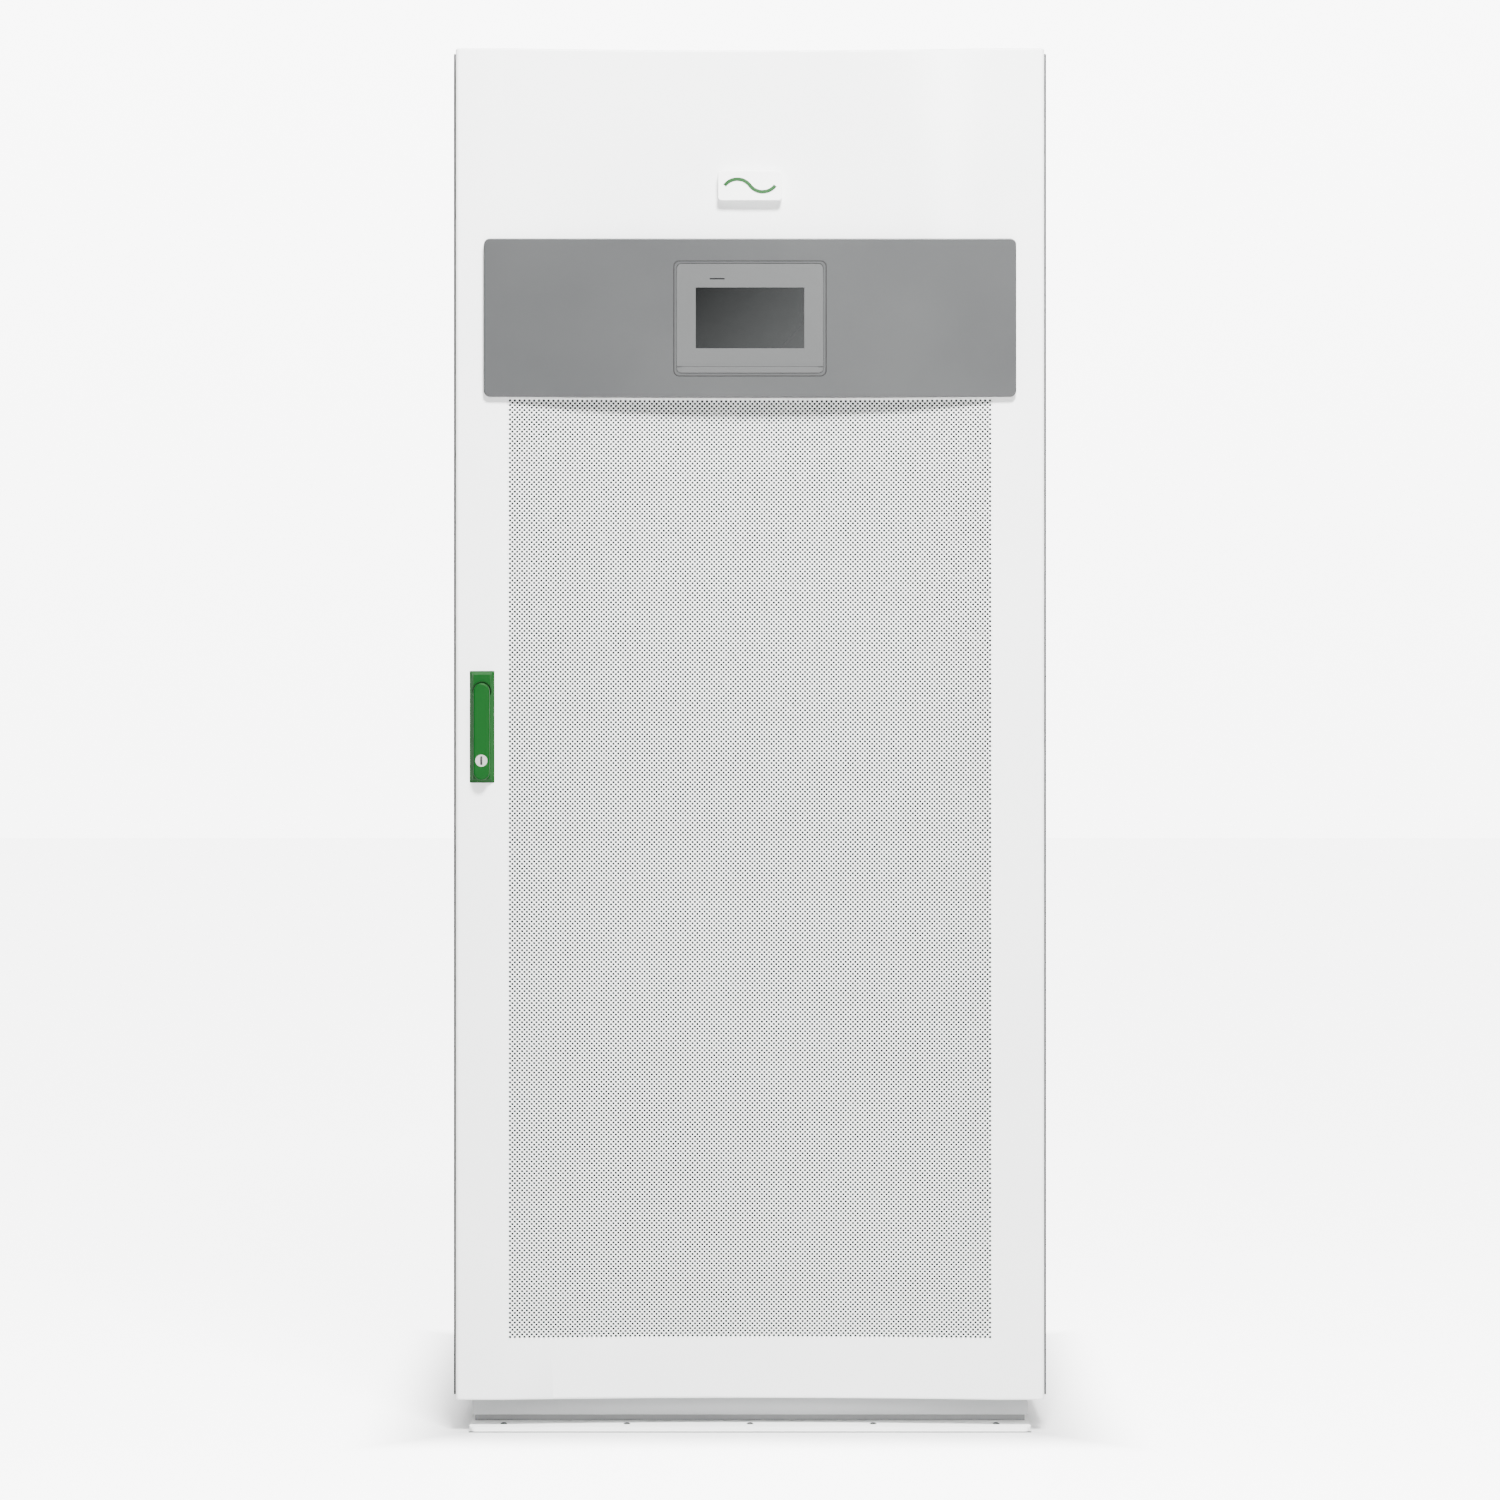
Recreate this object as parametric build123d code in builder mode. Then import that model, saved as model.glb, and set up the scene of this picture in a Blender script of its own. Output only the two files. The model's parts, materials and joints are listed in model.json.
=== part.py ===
from build123d import *
import os
from math import atan2, degrees, pi

# A floor-standing modular uninterruptible power supply: a tall steel cabinet on a plinth,
# with a concave perforated door, a grey display fascia, a swing handle with rod latch,
# and a rack of plug-in power modules beside a switchgear bay.
# Millimetres. Origin under the middle of the bounding box, +Z up, +X to the right of the
# front view, the door faces -Y.

# ---------------------------------------------------------------- overall sizes
WIDTH = 850.0  # over the side panels
HEIGHT = 1970.0  # floor to the top of the door
DEPTH = 925.0  # door front to the rear screw heads
HANDLE_PROUD = 17.5  # lever front ahead of the door's flat strips
SEAT_GAP = 0.3  # between curved or soft faces that rest on each other
RUN_FIT = 0.06  # radial clearance of a shaft that turns in its hole

FRONT_Y = HANDLE_PROUD - (DEPTH + HANDLE_PROUD) / 2
REAR_Y = FRONT_Y + DEPTH
SIDE_X = WIDTH / 2

# ---------------------------------------------------------------- door
DOOR_INSET = 6.0  # the door stops this far inside each side panel
DOOR_BOTTOM = 46.0
DOOR_DEPTH = 42.0
SKIN = 2.0  # folded sheet
FLANGE = 22.0  # rear return flange, outside size
BEND_R = 6.0
STRIP_W = 69.0  # flat strip beside the concave middle
SAGITTA = 19.0  # depth of the concave middle
TOP_BEND_R = 3.0
DOOR_X = SIDE_X - DOOR_INSET
CREASE_X = DOOR_X - STRIP_W
DOOR_BACK_Y = FRONT_Y + DOOR_DEPTH
CONCAVE_R = (CREASE_X**2 + SAGITTA**2) / (2 * SAGITTA)

# ---------------------------------------------------------------- carcass
SIDE_SETBACK = DOOR_DEPTH + 8.0  # side panel front edge behind the door front
FRAME_SETBACK = DOOR_DEPTH + 18.0  # plinth and posts behind the door front
SIDE_TRAY = 26.0  # depth of the folded side panels
BASE_BOTTOM = 16.0
BASE_H = 80.0
BASE_RAIL = 60.0
BASE_WALL = 3.0
POST = 40.0
POST_WALL = 2.0
TOP_FRAME_H = 40.0
ROOF_DROP = 4.0  # roof skin below the top of the side panels
ROOF_H = 6.0
PANEL_SHEET = 1.5
REAR_TRAY = 15.0
SCREW_HEAD_H = 3.0
SIDE_SHEET = 1.5
SIDE_EDGE_R = 1.0
REAR_PANEL_GAP = 1.0
REAR_RAISE = 41.0
REAR_SCREW_INSET = 12.0
REAR_SCREW_ROWS = 5
REAR_SLOT_W = 70.0
REAR_SLOT_H = 6.0
REAR_SLOT_PITCH_X = 90.0
REAR_SLOT_PITCH_Z = 18.0
REAR_SLOTS_X = 7
REAR_SLOTS_Z = 16
REAR_SLOT_FIELD = 560.0  # each slot field above and below the middle of the panel

FRAME_X = SIDE_X - SIDE_TRAY
FRAME_FRONT_Y = FRONT_Y + FRAME_SETBACK
PANEL_BACK_Y = REAR_Y - SCREW_HEAD_H
FRAME_BACK_Y = PANEL_BACK_Y - REAR_TRAY
FRAME_MID_Y = (FRAME_FRONT_Y + FRAME_BACK_Y) / 2
BASE_TOP = BASE_BOTTOM + BASE_H
ROOF_TOP = HEIGHT - ROOF_DROP
FRAME_TOP = ROOF_TOP - ROOF_H
POST_TOP = FRAME_TOP - TOP_FRAME_H
POST_IN_X = FRAME_X - POST

# ---------------------------------------------------------------- plinth fittings
BRACKET_INSET = 25.0  # bracket ends inside the side panels
BRACKET_H = 7.5
BRACKET_LAP = 35.0  # reach of the bracket under the plinth rail
BRACKET_CORNER_R = 11.0
BRACKET_SHEET = 3.0
ANCHOR_HOLE_D = 8.0
ANCHOR_END = 48.0  # outermost anchor holes inside the bracket ends
ANCHOR_COUNT = 5
ANCHOR_INSET = 9.0  # rear anchor holes ahead of the rear edge
FOOT_D = 60.0
FOOT_PAD_H = 8.0
FOOT_STEM_D = 16.0
FOOT_INSET_X = 30.0
FOOT_INSET_Y = 150.0
BOLT_HEX_R = 9.0
BRACKET_W = WIDTH - 2 * BRACKET_INSET
ANCHOR_PITCH = (BRACKET_W - 2 * ANCHOR_END) / (ANCHOR_COUNT - 1)

# ---------------------------------------------------------------- door furniture
FASCIA_INSET = 40.5  # fascia ends inside the door edges
FASCIA_H = 225.0
FASCIA_Z = HEIGHT - 384.5
FASCIA_R = 9.0
FASCIA_W = 2 * (DOOR_X - FASCIA_INSET)
FASCIA_PROUD = 8.5
FASCIA_WALL = 3.0
BEZEL_W = 208.0
BEZEL_H = 155.0
BEZEL_Z = FASCIA_Z - 1.0
BEZEL_R = 7.0
BEZEL_GAP = 0.8  # shadow gap round the bezel
BEZEL_DEPTH = 20.0
BEZEL_LIP_H = 12.0
BEZEL_LIP_PROUD = 0.8
BEZEL_RIM = 4.0
SCREEN_W = 154.0
SCREEN_H = 86.0
SCREEN_Z = BEZEL_Z + 0.5
SCREEN_T = 3.0
SCREEN_SUNK = 0.6
LED_W = 21.0
LED_H = 1.6
LED_X = -46.7
LED_Z = SCREEN_Z + 55.7
BADGE_W = 91.0
BADGE_H = 42.5
BADGE_Z = HEIGHT - 195.0
BADGE_R = 5.4
BADGE_T = 14.0
MARK_T = 0.6
MARK_STROKE = 5.0
WAVE_R = 9.0  # radius of each half wave of the mark
MESH_X = CREASE_X - 5.0
MESH_Z0 = DOOR_BOTTOM + 86.0
MESH_Z1 = FASCIA_Z - FASCIA_H / 2 - 1.0
MAT_T = 12.0
MAT_LAP = 2.0
STIFF_LAP = 30.0
FASCIA_EDGE_R = 1.5
SCREEN_FIT = 0.2
BADGE_EDGE_R = 1.0
STIFF_FLANGE = 20.0
STIFF_DEPTH = DOOR_DEPTH - 6.0
FILTER_BAR_H = 20.0
FILTER_BARS = 4

# ---------------------------------------------------------------- swing handle
HANDLE_INSET = 37.8  # handle centre inside the door edge
HANDLE_X = HANDLE_INSET - DOOR_X
HANDLE_Z0 = 924.3
HANDLE_H = 159.3
HANDLE_W = 35.4
HANDLE_BASE_T = 8.0
LEVER_W = 23.0
LEVER_Z0 = HANDLE_Z0 + 3.7
LEVER_Z1 = HANDLE_Z0 + 141.7
LEVER_EDGE_R = 2.5
LEVER_SEAT = 0.3
LIFT_PIN_D = 4.0
LIFT_PIN_DEPTH = 4.8  # lift pin axis behind the lever's face
TONGUE_W = 6.0
LOCK_D = 17.0
LOCK_Z = LEVER_Z0 + 27.9
LOCK_DEPTH = 8.0
KEYWAY_DEPTH = 5.0
HANDLE_RIM = 0.6  # flat seat wider than the lever on each side
HANDLE_CORNER_R = 1.5
TONGUE_RIM = 1.2
TONGUE_GAP = 0.2
TONGUE_SLOT_H = 18.0
LEVER_SHELL = 1.3
LIFT_PIN_L = 16.0
PIVOT_PROUD = 5.0
AXLE_GAP = 0.5
KEYWAY_W = 2.2
KEYWAY_H = 12.0
SPINDLE_D = 12.0
POCKET_R = 13.5
POCKET_FLOOR = 1.2

PIVOT_Z = LEVER_Z1 - LEVER_W / 2
LEVER_FACE_Y = FRONT_Y - HANDLE_PROUD
LEVER_BACK_Y = FRONT_Y - HANDLE_BASE_T - LEVER_SEAT
LIFT_Y = LEVER_FACE_Y + LIFT_PIN_DEPTH

# ---------------------------------------------------------------- rod latch
ROD_TRAVEL = 20.0  # each rod, for a quarter turn of the handle
ROD = 8.0  # square section
ROD_Y0 = FRONT_Y + 10.0
ROD_CLEAR = 0.1
PITCH_R = ROD_TRAVEL / (pi / 2)
CASE_W = 52.0
CASE_H = 100.0
CASE_DEPTH = 24.0
CASE_WALL = 3.0
HOOK_UP_Z = POST_TOP - 40.0
HOOK_DOWN_Z = BASE_TOP + 44.0
HOOK_REACH = FRAME_SETBACK - 14.0
HOOK_FINGER = 15.0
HOOK_T = 6.0
HOOK_W = 10.0
HOOK_GAP = 1.0  # between the upper rod and its hook plate
CATCH_W = 11.0
CATCH_T = 3.0
CATCH_GAP = 3.0
GUIDE_H = 20.0
GUIDE_WALL = 4.0
CATCH_ROOT = 3.0
ROD_OVERLAP = 22.0
GUIDE_NEAR = 240.0  # inner guides from the handle pivot
GUIDE_FAR = 130.0  # outer guides from the hooks
GUIDE_UP_ZS = (PIVOT_Z + GUIDE_NEAR, HOOK_UP_Z - GUIDE_FAR)
GUIDE_DOWN_ZS = (HOOK_DOWN_Z + GUIDE_FAR, PIVOT_Z - GUIDE_NEAR)

# ---------------------------------------------------------------- hinges
HINGE_X = DOOR_X - 12.0
HINGE_BACK = DOOR_DEPTH - 17.0  # hinge axis behind the door front
HINGE_PIN_D = 8.0
HINGE_BARREL_D = 16.0
HINGE_ARM_T = 6.0
HINGE_MID_H = 24.0
HINGE_END_H = 16.0
HINGE_GAP = 0.2
HINGE_END = 204.0  # outer hinges from the door top and bottom
HINGE_ZS = (DOOR_BOTTOM + HINGE_END, (DOOR_BOTTOM + HEIGHT) / 2, HEIGHT - HINGE_END)
HINGE_Y = FRONT_Y + HINGE_BACK
HINGE_ROOT_T = 4.0
HINGE_ROOT_H = 70.0
HINGE_ROOT_W = 32.0
HINGE_NOTCH_X = HINGE_X - 23.0
HINGE_NOTCH_FORE = 4.0
HINGE_NOTCH_H = 30.0
HINGE_PIN_HEAD_D = 12.0
HINGE_PIN_HEAD_H = 3.0
LEAF_T = 2.5
LEAF_FRONT = 8.0
LEAF_BEHIND = 6.0

# ---------------------------------------------------------------- module rack
BAY_W = 229.0  # switchgear bay with the partition
PARTITION_X = POST_IN_X - BAY_W
PARTITION_T = 2.0
PARTITION_SETBACK = FRAME_SETBACK + 15.0
PARTITION_BACK = DEPTH - 125.0
SHELF_T = 2.0
MODULES = 6
SHELF_Z0 = BASE_TOP + 14.0
SHELF_PITCH = (HEIGHT - 260.0 - SHELF_Z0) / (MODULES + 2.4)
SHELF_BACK = DEPTH - 165.0
MODULE_H = SHELF_PITCH - 14.0
MODULE_SIDE_GAP = 5.0
MODULE_DEPTH = DEPTH - 275.0  # leaves an air duct behind the modules
MODULE_FRONT = FRAME_SETBACK + 12.0
FACEPLATE_T = 3.0
FACEPLATE_H = SHELF_PITCH - 4.0
FACEPLATE_DROP = 5.0
FAN_VENT_D = 0.74 * MODULE_H
VENT_SUNK = 4.0
PULL_W = 180.0
PULL_H = 8.0
PULL_REACH = 16.0
CONTROL_H = 0.8 * SHELF_PITCH
PORT_W = 15.0
PORT_H = 12.0
PORTS = 6
PORT_PITCH = 60.0
PORT_DEPTH = 10.0
CONTROL_D = 300.0
CASE_SHEET = 1.5
VENT_PITCH = 150.0
VENTS = 3
CORE_FRONT = 120.0
CORE_W = 300.0
CORE_D = MODULE_DEPTH - 270.0
CORE_H = 90.0
FIN_H = 60.0
FIN_SLOT = 8.0
FINS = 20

# ---------------------------------------------------------------- switchgear bay
DEAD_FRONT = FRAME_SETBACK + 32.0
DEAD_FRONT_T = 2.0
BREAKER_PITCH = 0.15 * HEIGHT
BREAKER_TOP_Z = HEIGHT - 370.0
DEAD_FRONT_LAP = 200.0  # dead-front plate beyond the outer breakers
BREAKER_W = 105.0
BREAKER_H = 200.0
BREAKER_D = 110.0
NOSE_W = 60.0
NOSE_H = 84.0
NOSE_D = 22.0
NOSE_GAP = 2.0
BREAKER_ZS = (BREAKER_TOP_Z - 2 * BREAKER_PITCH, BREAKER_TOP_Z - BREAKER_PITCH, BREAKER_TOP_Z)
MOUNT_PLATE = FRAME_SETBACK + 160.0  # front face behind the door front
MOUNT_PLATE_T = 3.0
MOUNT_PLATE_Z1 = HEIGHT - 120.0
TOGGLE_W = 18.0
TOGGLE_T = 11.0
TOGGLE_REACH = 36.0
TOGGLE_ROOT_R = 9.0
TOGGLE_SINK = 14.0  # toggle axis behind the nose face
TOGGLE_SLOT_H = 36.0
TOGGLE_GAP = 0.4
TOGGLE_TILT = 25.0
BUSBARS = 4
BUSBAR_W = 30.0
BUSBAR_T = 8.0
BUSBAR_PITCH = 50.0
BUSBAR_Z0 = BASE_TOP + 84.0
BUSBAR_Z1 = BREAKER_ZS[0] - 240.0
BUSBAR_HOLE_D = 11.0
INSULATOR_D = 30.0
INSULATOR_H = 30.0

# ---------------------------------------------------------------- fan tray and roof
FAN_COUNT = 3
FAN_PITCH = 210.0
FAN_Y = FRAME_BACK_Y - 347.0
FAN_HOLE_R = 92.0
FAN_TIP_R = 87.0
FAN_HUB_R = 34.0
FAN_HUB_H = 26.0
BLADES = 7
BLADE_T = 3.0
BLADE_CHORD = 30.0
BLADE_PITCH_DEG = 32.0
BLADE_ROOT = 4.0
GRILLE_SLOT_W = 60.0
GRILLE_SLOT_H = 8.0
GRILLE_PITCH_X = 72.0
GRILLE_PITCH_Y = 18.0
GRILLE_SLOTS_X = 9
GRILLE_SLOTS_Y = 12
ROOF_SCREW_HEAD_H = 2.0
TRAY_LAP = 6.0  # the tray's lips reach this far under the side rails
TRAY_H = 44.0
TRAY_DEPTH = 250.0
TRAY_SHEET = 2.0
SPIDER_T = 4.0
SPIDER_ARM = 8.0
EXHAUST_W = 2 * POST_IN_X - 58.0
EXHAUST_D = 230.0
GRILLE_LAP = 15.0
GRILLE_T = 2.0
GLAND_X = 90.0
GLAND_Y = FRAME_BACK_Y - 117.0
GLAND_W = 480.0
GLAND_D = 120.0
GLAND_LAP = 15.0
SCREW_HEAD_D = 11.0
SCREW_SHANK_D = 6.0
SCREW_FIT = 0.1


def facing(y):
    """A sketch plane at this depth that looks out of the front of the cabinet."""
    return Plane.XZ.offset(-y)


def block(x, y, z, mode=Mode.ADD):
    """A rectangular block between three pairs of limits, in the piece being built."""
    with Locations(((x[0] + x[1]) / 2, (y[0] + y[1]) / 2, (z[0] + z[1]) / 2)):
        Box(abs(x[1] - x[0]), abs(y[1] - y[0]), abs(z[1] - z[0]), mode=mode)


def keep(piece, name):
    """Labels a finished piece and writes it to its own file."""
    piece.part.label = name
    export_step(piece.part, f"parts/{name}.step")


def door_plan(half_w, front_y, back_y, corner_r, z):
    """The door seen from above: two flat strips beside a shallow concave arc."""
    with BuildSketch(Plane.XY.offset(z)) as plan:
        with BuildLine():
            Polyline(
                (-CREASE_X, front_y),
                (-half_w, front_y),
                (-half_w, back_y),
                (half_w, back_y),
                (half_w, front_y),
                (CREASE_X, front_y),
            )
            ThreePointArc((CREASE_X, front_y), (0, front_y + SAGITTA), (-CREASE_X, front_y))
        make_face()
        corners = [v for v in plan.vertices() if abs(v.X) > CREASE_X + 1 and abs(v.Y - front_y) < 0.01]
        fillet(corners, corner_r)
    return plan.sketch


def concave_rise(x):
    """How far the door's concave middle lies behind its flat strips at a sideways position."""
    return (CONCAVE_R**2 - x**2) ** 0.5 - CONCAVE_R + SAGITTA


def arc_slab(half_w, front_y, back_y, z0, z1):
    """A curved slab that follows the concave middle of the door, between two depths."""
    rise = concave_rise(half_w)
    with BuildPart() as slab:
        with BuildSketch(Plane.XY.offset(z0)):
            with BuildLine():
                ThreePointArc((half_w, front_y + rise), (0, front_y + SAGITTA), (-half_w, front_y + rise))
                Line((-half_w, front_y + rise), (-half_w, back_y + rise))
                ThreePointArc((-half_w, back_y + rise), (0, back_y + SAGITTA), (half_w, back_y + rise))
                Line((half_w, back_y + rise), (half_w, front_y + rise))
            make_face()
        extrude(amount=z1 - z0)
    return slab


os.makedirs("parts", exist_ok=True)

# ================================================================ plinth
# Welded ring of channel rails, their open sides facing the middle of the cabinet.
with BuildPart() as base_frame:
    block((-FRAME_X, FRAME_X), (FRAME_FRONT_Y, FRAME_BACK_Y), (BASE_BOTTOM, BASE_TOP))
    block(
        (-FRAME_X + BASE_RAIL, FRAME_X - BASE_RAIL),
        (FRAME_FRONT_Y + BASE_RAIL, FRAME_BACK_Y - BASE_RAIL),
        (BASE_BOTTOM, BASE_TOP),
        Mode.SUBTRACT,
    )
    block(
        (-FRAME_X + BASE_WALL, FRAME_X - BASE_WALL),
        (FRAME_FRONT_Y + BASE_WALL, FRAME_BACK_Y - BASE_WALL),
        (BASE_BOTTOM + BASE_WALL, BASE_TOP - BASE_WALL),
        Mode.SUBTRACT,
    )
keep(base_frame, "base_frame")

# Four levelling feet: round pad, threaded stem and lock nut under the rails.
FOOT_SPAN_X = 2 * (FRAME_X - FOOT_INSET_X)
FOOT_SPAN_Y = FRAME_BACK_Y - FRAME_FRONT_Y - 2 * FOOT_INSET_Y
ON_FLOOR = (Align.CENTER, Align.CENTER, Align.MIN)
with BuildPart() as levelling_feet:
    with Locations((0, FRAME_MID_Y, 0)):
        with GridLocations(FOOT_SPAN_X, FOOT_SPAN_Y, 2, 2):
            Cylinder(FOOT_D / 2, FOOT_PAD_H, align=ON_FLOOR)
            Cylinder(FOOT_STEM_D / 2, BASE_BOTTOM, align=ON_FLOOR)
keep(levelling_feet, "levelling_feet")


# Floor anchoring bracket: a plate with a turned-down lip and a row of five anchor holes.
def anchor_bracket(lip_y, inner_y, hole_y):
    """The bracket whose lip stands at lip_y and whose plain edge lies under the rail."""
    inward = 1 if inner_y > lip_y else -1
    with BuildPart() as bracket:
        block((-BRACKET_W / 2, BRACKET_W / 2), (lip_y, inner_y), (0, BRACKET_H))
        lip_edges = bracket.edges().filter_by(Axis.Z).filter_by(lambda e: abs(e.center().Y - lip_y) < 0.01)
        fillet(lip_edges, BRACKET_CORNER_R)
        block(
            (-BRACKET_W / 2 + BRACKET_SHEET, BRACKET_W / 2 - BRACKET_SHEET),
            (lip_y + inward * BRACKET_SHEET, inner_y),
            (0, BRACKET_H - BRACKET_SHEET),
            Mode.SUBTRACT,
        )
        with Locations((0, hole_y, BRACKET_H / 2)):
            with GridLocations(ANCHOR_PITCH, 1, ANCHOR_COUNT, 1):
                Cylinder(ANCHOR_HOLE_D / 2, BRACKET_H, mode=Mode.SUBTRACT)
    return bracket


FRONT_ANCHOR_Y = FRONT_Y + FRAME_SETBACK / 2
REAR_ANCHOR_Y = REAR_Y - ANCHOR_INSET
FRONT_LAP_Y = FRAME_FRONT_Y + BRACKET_LAP
REAR_LAP_Y = FRAME_BACK_Y - BRACKET_LAP
anchor_bracket_front = anchor_bracket(FRONT_Y, FRONT_LAP_Y, FRONT_ANCHOR_Y)
keep(anchor_bracket_front, "anchor_bracket_front")
anchor_bracket_rear = anchor_bracket(REAR_Y, REAR_LAP_Y, REAR_ANCHOR_Y)
keep(anchor_bracket_rear, "anchor_bracket_rear")

# Hexagon spacer bolts that tie both brackets to the underside of the rails.
with BuildPart() as bracket_bolts:
    for bolt_y in (FRAME_FRONT_Y + BRACKET_LAP / 2, FRAME_BACK_Y - BRACKET_LAP / 2):
        with BuildSketch(Plane.XY.offset(BRACKET_H)):
            with Locations((0, bolt_y)):
                with GridLocations(ANCHOR_PITCH, 1, ANCHOR_COUNT - 1, 1):
                    RegularPolygon(BOLT_HEX_R, 6)
        extrude(amount=BASE_BOTTOM - BRACKET_H)
keep(bracket_bolts, "bracket_bolts")


# ================================================================ carcass
# Corner posts of square tube on the plinth: a front pair and a rear pair.
def corner_posts(outer_y, inner_y):
    """The pair of posts whose outer faces are at outer_y."""
    inward = 1 if inner_y > outer_y else -1
    with BuildPart() as posts:
        for side in (-1, 1):
            block((side * FRAME_X, side * POST_IN_X), (outer_y, inner_y), (BASE_TOP, POST_TOP))
            block(
                (side * (FRAME_X - POST_WALL), side * (POST_IN_X + POST_WALL)),
                (outer_y + inward * POST_WALL, inner_y - inward * POST_WALL),
                (BASE_TOP, POST_TOP),
                Mode.SUBTRACT,
            )
    return posts


keep(corner_posts(FRAME_FRONT_Y, FRAME_FRONT_Y + POST), "posts_front")
keep(corner_posts(FRAME_BACK_Y, FRAME_BACK_Y - POST), "posts_rear")

# Welded ring of channel rails that joins the tops of the posts.
with BuildPart() as top_frame:
    block((-FRAME_X, FRAME_X), (FRAME_FRONT_Y, FRAME_BACK_Y), (POST_TOP, FRAME_TOP))
    block(
        (-POST_IN_X, POST_IN_X),
        (FRAME_FRONT_Y + POST, FRAME_BACK_Y - POST),
        (POST_TOP, FRAME_TOP),
        Mode.SUBTRACT,
    )
    block(
        (-FRAME_X + POST_WALL, FRAME_X - POST_WALL),
        (FRAME_FRONT_Y + POST_WALL, FRAME_BACK_Y - POST_WALL),
        (POST_TOP + POST_WALL, FRAME_TOP - POST_WALL),
        Mode.SUBTRACT,
    )
keep(top_frame, "top_frame")


# Side panels: folded trays that hang on the frame, open towards the inside.
def side_panel(side):
    """The tray on one side, with a rounded outer edge at the front and the top."""
    front_y = FRONT_Y + SIDE_SETBACK
    with BuildPart() as tray:
        block((side * FRAME_X, side * SIDE_X), (front_y, PANEL_BACK_Y), (DOOR_BOTTOM, HEIGHT))
        outer = tray.faces().sort_by(Axis.X)[0 if side < 0 else -1]
        fillet(outer.edges(), SIDE_EDGE_R)
        block(
            (side * FRAME_X, side * (SIDE_X - SIDE_SHEET)),
            (front_y + SIDE_SHEET, PANEL_BACK_Y - SIDE_SHEET),
            (DOOR_BOTTOM + SIDE_SHEET, HEIGHT - SIDE_SHEET),
            Mode.SUBTRACT,
        )
    return tray


keep(side_panel(-1), "side_panel_left")
keep(side_panel(1), "side_panel_right")

# Rear panel: a folded tray with two fields of air slots, screwed on from behind.
REAR_X = FRAME_X - REAR_PANEL_GAP
REAR_Z0 = BASE_BOTTOM + BASE_WALL + REAR_RAISE
REAR_MID_Z = (REAR_Z0 + ROOF_TOP) / 2
REAR_SCREW_SPAN_X = 2 * (REAR_X - REAR_SCREW_INSET)
REAR_SCREW_SPAN_Z = ROOF_TOP - REAR_Z0 - 2 * REAR_SCREW_INSET
REAR_SCREW_PITCH_Z = REAR_SCREW_SPAN_Z / (REAR_SCREW_ROWS - 1)
with BuildPart() as rear_panel:
    block((-REAR_X, REAR_X), (FRAME_BACK_Y, PANEL_BACK_Y), (REAR_Z0, ROOF_TOP))
    block(
        (-REAR_X + PANEL_SHEET, REAR_X - PANEL_SHEET),
        (FRAME_BACK_Y, PANEL_BACK_Y - PANEL_SHEET),
        (REAR_Z0 + PANEL_SHEET, ROOF_TOP - PANEL_SHEET),
        Mode.SUBTRACT,
    )
    with BuildSketch(facing(PANEL_BACK_Y)):
        for slot_z in (REAR_MID_Z - REAR_SLOT_FIELD, REAR_MID_Z + REAR_SLOT_FIELD):
            with Locations((0, slot_z)):
                with GridLocations(REAR_SLOT_PITCH_X, REAR_SLOT_PITCH_Z, REAR_SLOTS_X, REAR_SLOTS_Z):
                    Rectangle(REAR_SLOT_W, REAR_SLOT_H)
        with Locations((0, REAR_MID_Z)):
            with GridLocations(REAR_SCREW_SPAN_X, REAR_SCREW_PITCH_Z, 2, REAR_SCREW_ROWS):
                Circle(SCREW_SHANK_D / 2 + SCREW_FIT)
    extrude(amount=PANEL_SHEET, mode=Mode.SUBTRACT)
keep(rear_panel, "rear_panel")

# Roof: a shallow tray on the top frame, cut out for the exhaust and for cable entry.
ROOF_X = FRAME_X - REAR_PANEL_GAP
with BuildPart() as roof_panel:
    block((-ROOF_X, ROOF_X), (FRAME_FRONT_Y, FRAME_BACK_Y), (FRAME_TOP, ROOF_TOP))
    block(
        (-ROOF_X + PANEL_SHEET, ROOF_X - PANEL_SHEET),
        (FRAME_FRONT_Y + PANEL_SHEET, FRAME_BACK_Y - PANEL_SHEET),
        (FRAME_TOP, ROOF_TOP - PANEL_SHEET),
        Mode.SUBTRACT,
    )
    with BuildSketch(Plane.XY.offset(ROOF_TOP)):
        with Locations((0, FAN_Y)):
            Rectangle(EXHAUST_W, EXHAUST_D)
        with Locations((GLAND_X, GLAND_Y)):
            Rectangle(GLAND_W, GLAND_D)
    extrude(amount=-PANEL_SHEET, mode=Mode.SUBTRACT)
keep(roof_panel, "roof_panel")

# Exhaust grille over the fans, with rows of long slots.
GRILLE_SCREW_X = EXHAUST_W + GRILLE_LAP
GRILLE_SCREW_Y = EXHAUST_D + GRILLE_LAP
with BuildPart() as roof_grille:
    with BuildSketch(Plane.XY.offset(ROOF_TOP)):
        with Locations((0, FAN_Y)):
            Rectangle(EXHAUST_W + 2 * GRILLE_LAP, EXHAUST_D + 2 * GRILLE_LAP)
            with GridLocations(GRILLE_PITCH_X, GRILLE_PITCH_Y, GRILLE_SLOTS_X, GRILLE_SLOTS_Y):
                Rectangle(GRILLE_SLOT_W, GRILLE_SLOT_H, mode=Mode.SUBTRACT)
            with GridLocations(GRILLE_SCREW_X, GRILLE_SCREW_Y, 2, 2):
                Circle(SCREW_SHANK_D / 2 + SCREW_FIT, mode=Mode.SUBTRACT)
    extrude(amount=GRILLE_T)
keep(roof_grille, "roof_grille")

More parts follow.
